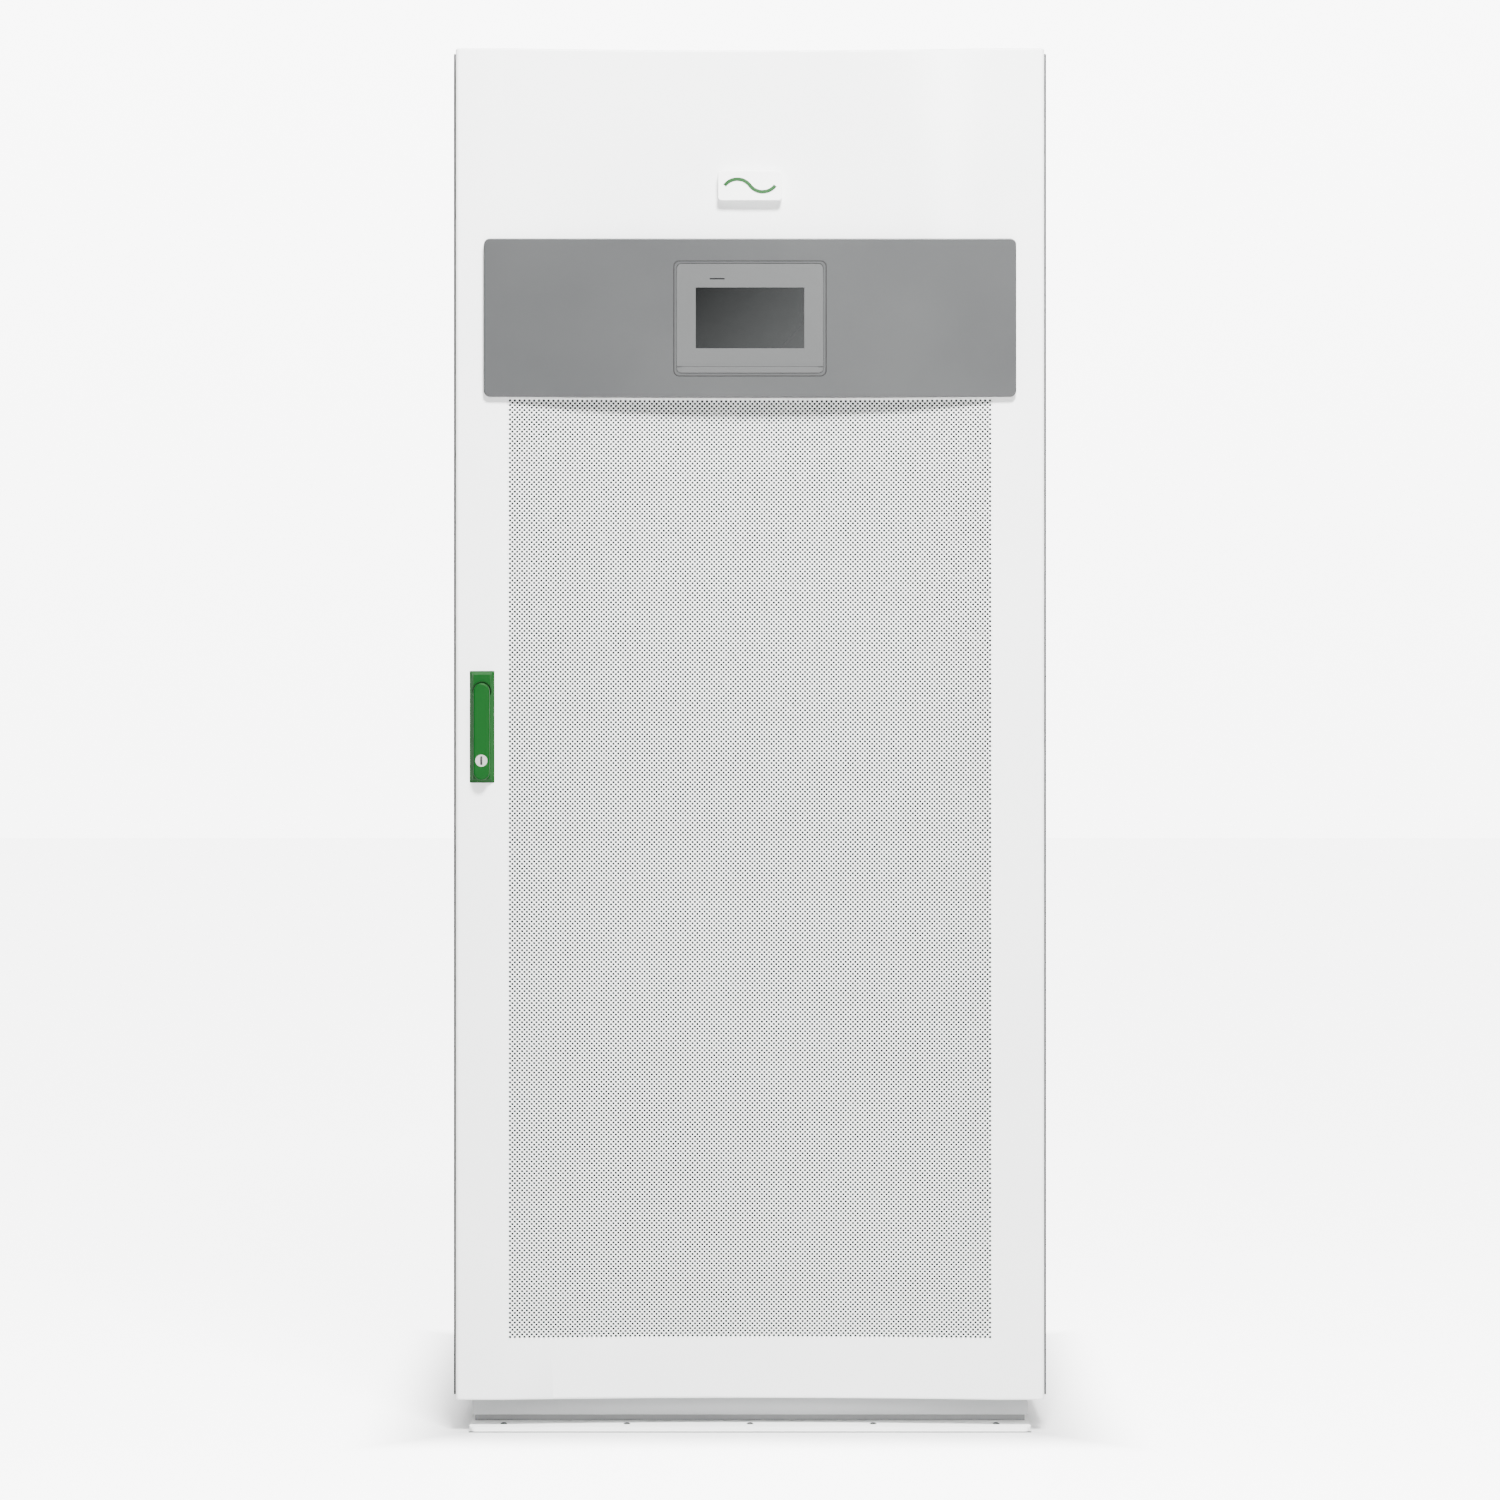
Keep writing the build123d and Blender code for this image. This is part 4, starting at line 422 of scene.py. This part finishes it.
def bar(x, y, z, radius):
    """A bar between three pairs of limits, with round long edges.

    Its profile, a rectangle with round corners, is carried straight along its longest side.
    """
    limits = np.array([x, y, z], float)
    along = int(np.argmax(limits[:, 1] - limits[:, 0]))
    across = [axis for axis in range(3) if axis != along]
    half = (limits[across, 1] - limits[across, 0]) / 2
    profile = rounded(*half, radius)[:, [0, 2]] + limits[across].mean(1)
    sections = np.empty((2, len(profile), 3))
    sections[:, :, across] = profile
    sections[:, :, along] = limits[along][:, None]
    return loft(sections)


low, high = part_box("base_frame")
width = (low.x + STRIP_INSET, high.x - STRIP_INSET)
depth = (low.y + STRIP_Y[0], low.y + STRIP_Y[1])
points, faces = bar(width, depth, (STRIP_FOOT, low.z), STRIP_ROUND)
# Matt and slightly coarse; its mid grey is the painted shade of the gap.
foam = finish("gap_painted_shade", "#7C7D7E", "#888989", (0.8, 0.95), 1.5, 0.15)
piece("plinth_strip", points, faces, "cabinet", foam, smooth=30)

# A thin dark strip under the front lip of the bracket is a painted contact shadow, and a dark grey plug on
# each anchor hole is the painted shade inside the hole.
CONTACT_SHADE_PROUD = 0.0004  # past the edges of the bracket, and the rounding of the shadow strip
CONTACT_SHADE_DEPTH = 0.003
CONTACT_SHADE_THICK = 0.0012
ANCHOR_END = 0.048  # from the end of the bracket to its first hole
ANCHOR_Y = 0.030  # from the front of the bracket to the row of holes
HOLE_SHADE_R = 0.0050
HOLE_SHADE_H = 0.0018
low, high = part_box("anchor_bracket_front")
# Dull dark grey without a highlight: painted shade, used for the contact shadow, the anchor holes and the
# gaps beside the door.
painted_shade = finish("grey_painted_shade", "#2C2D2E", "#383A3B", (0.7, 0.85), 1.2, 0.05)
width = (low.x - CONTACT_SHADE_PROUD, high.x + CONTACT_SHADE_PROUD)
depth = (low.y - CONTACT_SHADE_PROUD, low.y + CONTACT_SHADE_DEPTH)
points, faces = bar(width, depth, (0.0, CONTACT_SHADE_THICK), CONTACT_SHADE_PROUD)
piece("bracket_contact_shade", points, faces, "cabinet", painted_shade, smooth=30)
across = np.linspace(low.x + ANCHOR_END, high.x - ANCHOR_END, 5)
holes = [(x, low.y + ANCHOR_Y, high.z) for x in across]
points, faces = copies(screw(HOLE_SHADE_R, HOLE_SHADE_H), holes)
piece("anchor_hole_shades", points, faces, "cabinet", painted_shade, smooth=35)

# A dark strip on the front edge of both side panels, seen in the gap beside the door: painted shade,
# standing in for the shade in that gap.
SIDE_SHADE_THICK = 0.0015
SIDE_SHADE_ROUND = 0.0007
SIDE_SHADE_SIDE_GAP = 0.0002
SIDE_SHADE_END_GAP = 0.001
for side, name in (("left", "side_gap_shade_left"), ("right", "side_gap_shade_right")):
    low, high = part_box(f"side_panel_{side}")
    width = (low.x + SIDE_SHADE_SIDE_GAP, high.x - SIDE_SHADE_SIDE_GAP)
    height = (low.z + SIDE_SHADE_END_GAP, high.z - SIDE_SHADE_END_GAP)
    points, faces = bar(width, (low.y - SIDE_SHADE_THICK, low.y), height, SIDE_SHADE_ROUND)
    piece(name, points, faces, "cabinet", painted_shade, smooth=30)

# ---------------------------------------------------------------- fascia and display
# The fascia is a moulded tray with a silver-grey satin lacquer, clipped to the door.
# The bezel is lighter grey plastic, and the dark glass of the display sits in its recess.
# Sprayed metallic lacquer: mid grey with a soft sheen that shifts as the surface turns.
lacquer = finish("silver_grey_lacquer", "#393A3B", "#3F4040", (0.36, 0.44), 0.6, 0.01, Metallic=0.35)
dress("fascia_plastic", lacquer)
# Moulded ABS with a fine spark-eroded grain: an even grey, more matt than the fascia.
dress("bezel_plastic", finish("bezel_grey_plastic", "#363737", "#3B3C3C", (0.45, 0.55), 0.8, 0.02))
# Smoked polycarbonate: almost black while the lamp is off, with one small highlight.
dress("lamp_lens", finish("smoked_lamp_lens", "#0C0D0D", "#141516", (0.2, 0.3), 3.0, 0.0))

# Smoked glass over the display. A fall from dark at the top left to pale at the lower right is
# painted on it in place of a reflection of the room: it is how far a point lies along X less Z.
glass = finish("smoked_display_glass", "#0C0D0D", "#2A2B2B", (0.14, 0.2), 30.0, 0.0, Coat_Weight=0.5)
low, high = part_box("display_screen")
tree = glass.node_tree
place = add(tree, "ShaderNodeTexCoord").outputs["Object"]
middle = (low + high) / 2
centred = {"Vector": place, "Location": -middle}
centred = add(tree, "ShaderNodeMapping", centred, vector_type="POINT").outputs[0]
split = add(tree, "ShaderNodeSeparateXYZ", {"Vector": centred})
fall = {0: split.outputs["X"], 1: split.outputs["Z"]}
fall = add(tree, "ShaderNodeMath", fall, operation="SUBTRACT").outputs[0]
reach = (high.x - low.x + high.z - low.z) / 2
pale = add(tree, "ShaderNodeMapRange", {"Value": fall, "From Min": -reach, "From Max": reach}).outputs[0]
blend = next(node for node in tree.nodes if node.bl_idname == "ShaderNodeMix")
tree.links.new(pale, blend.inputs[0])
dress("screen_glass", glass)

# The joint round the bezel and the flap along its foot are drawn as thin dark lines: painted shade, a dark
# ring and a hairline bar standing in for the shade in those joints.
JOINT_W = 0.0011  # how far the ring reaches past the bezel
JOINT_LAP = 0.0006  # how far it reaches in under it
JOINT_H = 0.0002
JOINT_ROUND = (0.0085, 0.0072)  # outside and inside corners
FLAP_Z = 0.0125
FLAP_W = 0.0007
FLAP_INSET = 0.004
FLAP_Y = (-0.0001, 0.0004)  # from just before the bezel's face to just behind it
FLAP_ROUND = 0.0002
# Dark and matt: painted shade, for the joints of the bezel and the keyway of the lock.
line = finish("joint_shadow_painted_shade", "#101111", "#161717", (0.7, 0.85), 1.0, 0.02)
low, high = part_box("display_bezel")
face_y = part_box("fascia")[0].y
half_x, half_z = (high.x - low.x) / 2, (high.z - low.z) / 2
centre = np.array([(low.x + high.x) / 2, 0, (low.z + high.z) / 2])
outer = rounded(half_x + JOINT_W, half_z + JOINT_W, JOINT_ROUND[0])
inner = rounded(half_x - JOINT_LAP, half_z - JOINT_LAP, JOINT_ROUND[1])
foot, top = [0, face_y, 0], [0, face_y - JOINT_H, 0]
rows = [outer + foot, outer + top, inner + top, inner + foot]
points, faces = loft(np.array(rows) + centre, closed=True)
piece("bezel_joint_shade", points, faces, "door", line)
width = (low.x + FLAP_INSET, high.x - FLAP_INSET)
depth = (low.y + FLAP_Y[0], low.y + FLAP_Y[1])
height = (low.z + FLAP_Z, low.z + FLAP_Z + FLAP_W)
points, faces = bar(width, depth, height, FLAP_ROUND)
piece("bezel_flap_line", points, faces, "door", line, smooth=30)

# ---------------------------------------------------------------- badge
# A plain white moulded block with a green wave on its face, fixed in the hollow of the door.
# Glossy white ABS, whiter and smoother than the coat round it.
dress("badge_plastic", finish("badge_white_plastic", "#F1F2F1", "#F8F8F7", (0.30, 0.40), 0.8, 0.01))
# Deep green ABS inlay, satin.
dress("green_plastic", finish("mark_green_plastic", "#003A09", "#00420C", (0.35, 0.45), 0.8, 0.01))

# ---------------------------------------------------------------- handle and lock
# Cast swing handle in green lacquer; the lock cylinder in its lever is nickel plated.
# Green lacquer on cast zinc: deep colour with a faint, wide highlight.
satin = (0.42, 0.52)
green = finish("handle_green_lacquer", "#003208", "#003A0A", satin, 1.0, 0.015, Specular_IOR_Level=0.10)
dress("handle_paint", green)
# Nickel plate: a warmer grey than zinc, with a soft bright face.
dress("lock_metal", finish("nickel_plate", "#8E8F8D", "#A5A4A0", (0.3, 0.42), 1.2, 0.01, Metallic=1.0))

# A black plate covers the keyway: painted shade standing in for the dark of the slot. It is a little wider
# than the slot and stands just proud.
KEYWAY_SHADE_HALF = (0.0016, 0.0064)
KEYWAY_SHADE_ROUND = 0.0015
KEYWAY_SHADE_Y = (0.0004, -0.0001)  # its back and its face, from the face of the cylinder
low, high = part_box("lock_cylinder")
middle = (low + high) / 2
outline = rounded(*KEYWAY_SHADE_HALF, KEYWAY_SHADE_ROUND) + [middle.x, low.y, middle.z]
points, faces = loft(np.stack([outline + [0, y, 0] for y in KEYWAY_SHADE_Y]))
piece("keyway_shade", points, faces, "lock_cylinder", line)

# ---------------------------------------------------------------- filter mat
# A soft non-woven polyester mat, matt, against the back of the perforated field.
# Needled polyester with its fibres mostly upright; its dark grey is painted shade, drawn darker than the
# mat is for the shade behind the holes.
matt = (0.85, 0.98)
fabric = finish("nonwoven_filter_painted_shade", "#2E3031", "#3E4041", matt, 2.2, 0.5, stretch=(1, 1, 3))
dress("filter_fabric", fabric)

# ---------------------------------------------------------------- power modules and switchgear
# Plug-in units in dark grey coat with finned aluminium cores, moulded breakers,
# bare copper bars on resin insulators, and black plastic rotors in the fan tray.
# Dark grey powder coat, satin.
dress("module_paint", finish("module_grey_coat", "#35383B", "#404346", (0.45, 0.6), 1.4, 0.03))
# Extruded aluminium, left bare: pale, even and softly bright.
dress("heat_sink", finish("extruded_aluminium", "#A7AAAC", "#BFC1C3", (0.3, 0.45), 1.5, 0.01, Metallic=1.0))
# Moulded thermoset: near black, with a dull even face.
dress("breaker_plastic", finish("breaker_thermoset", "#2B2D2F", "#37393B", (0.4, 0.55), 0.7, 0.03))
# Drawn copper bar, bare: warm orange, brighter where it has been handled.
dress("copper", finish("busbar_copper", "#A9653F", "#C27B52", (0.25, 0.42), 3.0, 0.01, Metallic=1.0))
# Cast resin: brick red and half matt.
dress("insulator_resin", finish("insulator_resin_red", "#7E2A20", "#903629", (0.35, 0.5), 1.0, 0.02))
# Glass-filled nylon: black, with a fine dull grain.
black = finish("fan_black_plastic", "#0B0C0D", "#131415", (0.4, 0.55), 0.8, 0.03)
dress("black_plastic", black)

# Each plug-in unit draws air through three round vents: a fan with seven swept blades sits
# in the recess behind a wire guard, and a knurled screw holds each corner of the faceplate.
VENT_R = 0.0653
VENT_PITCH = 0.150
PULL_REACH = 0.016  # how far the pull stands before the faceplate
WIRE = 0.0011  # the radius of the guard's wire
HOOPS = (0.024, 0.038, 0.052, VENT_R + 0.001)
WIRE_END = VENT_R + 0.002
BLADES = 7
HUB_R = 0.020
BLADE_REACH = 0.040
BLADE_THICK = 0.0008
KNURL_R = 0.0045
SCREW_INSET = (0.010, 0.012)  # from the side and from the foot or head of the faceplate


def hoop(radius, wire, around=48):
    """A wire ring in the XZ plane: a small circle swept round a large one."""
    turn, small = np.arange(around) * 2 * np.pi / around, np.arange(6) * np.pi / 3
    turn, small = np.meshgrid(turn, small, indexing="ij")
    reach = radius + wire * np.cos(small)
    rows = np.stack([reach * np.cos(turn), wire * np.sin(small), reach * np.sin(turn)], -1)
    return loft(rows, closed=True)


def blade(start):
    """One fan blade in the XZ plane, swept back as it widens from the hub to the tip.

    Its angle runs along the blade and widens outward, and its depth is a slope with half a
    sine wave on it.
    """
    out, along = np.meshgrid(np.linspace(0, 1, 6), np.linspace(0, 1, 5), indexing="ij")
    radius = HUB_R + BLADE_REACH * out
    turn = start + (0.30 + 0.44 * along) * (1 + 0.35 * out)
    depth = 0.0015 + 0.003 * along + 0.001 * np.sin(np.pi * along)
    front = np.stack([radius * np.cos(turn), depth, radius * np.sin(turn)], -1).reshape(-1, 3)
    index = np.arange(out.size).reshape(out.shape)
    quads = np.stack([index[:-1, :-1], index[1:, :-1], index[1:, 1:], index[:-1, 1:]], -1)
    return thicken(front, front + [0, BLADE_THICK, 0], [quads.reshape(-1, 4)])


units = ["static_switch_module"] + [f"power_module_{n}" for n in range(1, 7)]
vents, corners = [], []
for unit in units:
    low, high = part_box(unit)
    middle = (low + high) / 2
    face_y = low.y + PULL_REACH
    vents += [(middle.x + side * VENT_PITCH, face_y, middle.z) for side in (-1, 0, 1)]
    sides = (low.x + SCREW_INSET[0], high.x - SCREW_INSET[0])
    ends = (low.z + SCREW_INSET[1], high.z - SCREW_INSET[1])
    corners += [(x, face_y, z) for x in sides for z in ends]
ring = np.array([[0, WIRE * np.cos(a), WIRE * np.sin(a)] for a in np.arange(6) * np.pi / 3])
spoke = np.array([[-WIRE_END, 0, 0], [WIRE_END, 0, 0]])[:, None] + ring
spokes = [loft(spoke), loft(spoke[..., [2, 1, 0]])]
hoops = [hoop(r, WIRE) for r in HOOPS]
points, faces = copies(together(*hoops, *spokes), np.array(vents) - [0, WIRE, 0])
piece("vent_guards", points, faces, "cabinet", zinc, smooth=40)

turn = np.arange(32) * 2 * np.pi / 32
hub_rows = ((0.0205, 0.0062), (0.0205, 0.0008), (0.0195, 0.0), (0.012, 0.0), (0.011, 0.0004))
sections = [np.stack([r * np.cos(turn), 0 * turn + y, r * np.sin(turn)], 1) for r, y in hub_rows]
hub = loft(np.array(sections))
fan = together(hub, *[blade(start) for start in np.arange(BLADES) * 2 * np.pi / BLADES])
points, faces = copies(fan, vents)
piece("vent_fans", points, faces, "cabinet", black, smooth=35)

knurl = KNURL_R + 0.0003 * (np.arange(32) % 2)
rows = ((knurl, 0.0), (knurl, 0.0045), (knurl * 0.8, 0.0056), (knurl * 0.45, 0.0056), (knurl * 0.4, 0.0044))
sections = [np.stack([r * np.cos(turn), 0 * turn - y, r * np.sin(turn)], 1) for r, y in rows]
points, faces = copies(loft(np.array(sections)), corners)
piece("faceplate_screws", points, faces, "cabinet", zinc, smooth=30)

# Twelve signal sockets line the recesses of the control box, six in each of two rows.
SOCKET_DEPTH = 0.009
SOCKET_PITCH = 0.060
low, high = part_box("control_box")
outer = np.array([[-7.2, -5.7], [7.2, -5.7], [7.2, 5.7], [-7.2, 5.7]]) / 1000
inner = np.array([[-5.6, -4.2], [5.6, -4.2], [5.6, 3.0], [-5.6, 3.0]]) / 1000
flat = np.vstack([outer, inner])
front = np.stack([flat[:, 0], 0 * flat[:, 0], flat[:, 1]], 1)
quads = np.array([[k, (k + 1) % 4, (k + 1) % 4 + 4, k + 4] for k in range(4)])
socket = thicken(front, front + [0, SOCKET_DEPTH, 0], [quads])
row = (np.arange(6) - 2.5) * SOCKET_PITCH
middle = (low.x + high.x) / 2
places = [(middle + x, low.y, low.z + (high.z - low.z) * n / 3) for x in row for n in (1, 2)]
points, faces = copies(socket, places)
piece("signal_sockets", points, faces, "cabinet", black)

# ---------------------------------------------------------------- door gasket
# A black foam gasket on the rear flange of the door seals it against the cabinet.
SEAL_INSET = (0.010, 0.0185)  # its outer and inner edge, from the edge of the door
SEAL_THICK = 0.006
low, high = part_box("door_skin")
edge = np.array([[low.x, low.z], [high.x, low.z], [high.x, high.z], [low.x, high.z]])
inward = np.array([[1, 1], [-1, 1], [-1, -1], [1, -1]])
flat = np.vstack([edge + inward * inset for inset in SEAL_INSET])
front = np.stack([flat[:, 0], 0 * flat[:, 0] + high.y, flat[:, 1]], 1)
# Sponge rubber: black, matt and slightly open on its face.
seal = finish("black_foam_gasket", "#18191A", "#232425", (0.8, 0.95), 1.2, 0.2)
points, faces = thicken(front, front + [0, SEAL_THICK, 0], [quads])
piece("door_gasket", points, faces, "door", seal)

# ---------------------------------------------------------------- floor, light and camera
# A plain pale floor, a pale studio round it, a soft key light from above and in front,
# and a camera at the height of the middle of the cabinet.
CLEAR_FROM = (-0.03, 0.16)  # where the floor's glow begins and is whole, outside the footprint
FLOOR_GLOW = (0.02, 5.4)
CAMERA_BACK = 6.0
CAMERA_Z = 0.971
LENS = 101.2
bpy.ops.mesh.primitive_plane_add(size=80)
floor = bpy.context.object
floor.name = "floor"
# Smooth pale studio flooring: near white, with a faint broad sheen.
pale = finish("pale_floor", "#D6D6D6", "#DADADA", (0.30, 0.38), 40.0, Emission_Color=rgb("#FFFFFF"))

# Only the camera sees the floor glow; it gives the cabinet no light. The glow is held back under
# the cabinet and close round it, so the shade there is partly set by hand. The distance outside
# the footprint is the larger of |x| less its half width and |y| less its half depth.
tree = pale.node_tree
split = add(tree, "ShaderNodeSeparateXYZ", {"Vector": add(tree, "ShaderNodeTexCoord").outputs["Object"]})
beyond = []
for axis, half in zip("XY", size_at_load[1]):
    reach = add(tree, "ShaderNodeMath", {0: split.outputs[axis]}, operation="ABSOLUTE").outputs[0]
    beyond.append(add(tree, "ShaderNodeMath", {0: reach, 1: half}, operation="SUBTRACT").outputs[0])
outside = add(tree, "ShaderNodeMath", {0: beyond[0], 1: beyond[1]}, operation="MAXIMUM").outputs[0]
clear = {"Value": outside, "From Min": CLEAR_FROM[0], "From Max": CLEAR_FROM[1]}
clear.update({"To Min": FLOOR_GLOW[0], "To Max": FLOOR_GLOW[1]})
clear = add(tree, "ShaderNodeMapRange", clear, interpolation_type="SMOOTHSTEP").outputs[0]
seen = add(tree, "ShaderNodeLightPath").outputs["Is Camera Ray"]
glow = add(tree, "ShaderNodeMath", {0: seen, 1: clear}, operation="MULTIPLY").outputs[0]
skin = next(node for node in tree.nodes if node.bl_idname == "ShaderNodeBsdfPrincipled")
tree.links.new(glow, skin.inputs["Emission Strength"])
floor.data.materials.append(pale)

# The light of the studio is dim to the sides and in front, brighter overhead and behind. The camera
# sees a white backdrop instead, which is brighter than that light.
world = bpy.data.worlds.new("pale_studio")
world.use_nodes = True
tree = world.node_tree
tree.nodes.clear()
heading = add(tree, "ShaderNodeTexCoord").outputs["Generated"]
split = add(tree, "ShaderNodeSeparateXYZ", {"Vector": heading})
across = {"Value": split.outputs["Y"], "From Min": -0.3, "From Max": 0.9, "To Min": 0.30, "To Max": 2.2}
across = add(tree, "ShaderNodeMapRange", across, interpolation_type="SMOOTHSTEP").outputs[0]
upward = {"Value": split.outputs["Z"], "From Min": 0.0, "From Max": 0.9, "To Min": 0.6, "To Max": 1.6}
upward = add(tree, "ShaderNodeMapRange", upward, interpolation_type="SMOOTHSTEP").outputs[0]
light = add(tree, "ShaderNodeMath", {0: across, 1: upward}, operation="MULTIPLY").outputs[0]
backdrop = {"Value": split.outputs["Z"], "From Min": -0.05, "From Max": 0.3, "To Min": 7.4, "To Max": 9.5}
backdrop = add(tree, "ShaderNodeMapRange", backdrop, interpolation_type="SMOOTHSTEP").outputs[0]
seen = add(tree, "ShaderNodeLightPath").outputs["Is Camera Ray"]
strength = add(tree, "ShaderNodeMix", {0: seen, 2: light, 3: backdrop}, data_type="FLOAT").outputs[0]
sky = add(tree, "ShaderNodeBackground", {"Color": rgb("#FFFFFF"), "Strength": strength}).outputs[0]
add(tree, "ShaderNodeOutputWorld", {"Surface": sky})
bpy.context.scene.world = world


def lamp(name, place, target, width, height, power):
    """A rectangular area light at a place that shines at a target."""
    light = bpy.data.lights.new(name, "AREA")
    light.shape = "RECTANGLE"
    light.size = width
    light.size_y = height
    light.energy = power
    obj = bpy.data.objects.new(name, light)
    obj.location = place
    aim = Vector(target) - Vector(place)
    obj.rotation_euler = aim.to_track_quat("-Z", "Y").to_euler()
    obj.visible_camera = False
    bpy.context.scene.collection.objects.link(obj)


lamp("key", (0.5, -3.3, 4.6), (0.0, -0.4, 1.1), 1.2, 0.9, 1150)
lamp("low_fill", (0.3, -2.9, 1.0), (0.0, -0.4, 0.1), 2.4, 0.5, 50)

camera = bpy.data.objects.new("camera", bpy.data.cameras.new("camera"))
camera.data.lens = LENS
camera.location = (0.0, front_y - CAMERA_BACK, CAMERA_Z)
camera.rotation_euler = (np.pi / 2, 0, 0)
bpy.context.scene.collection.objects.link(camera)
bpy.context.scene.camera = camera

bpy.context.view_layer.update()
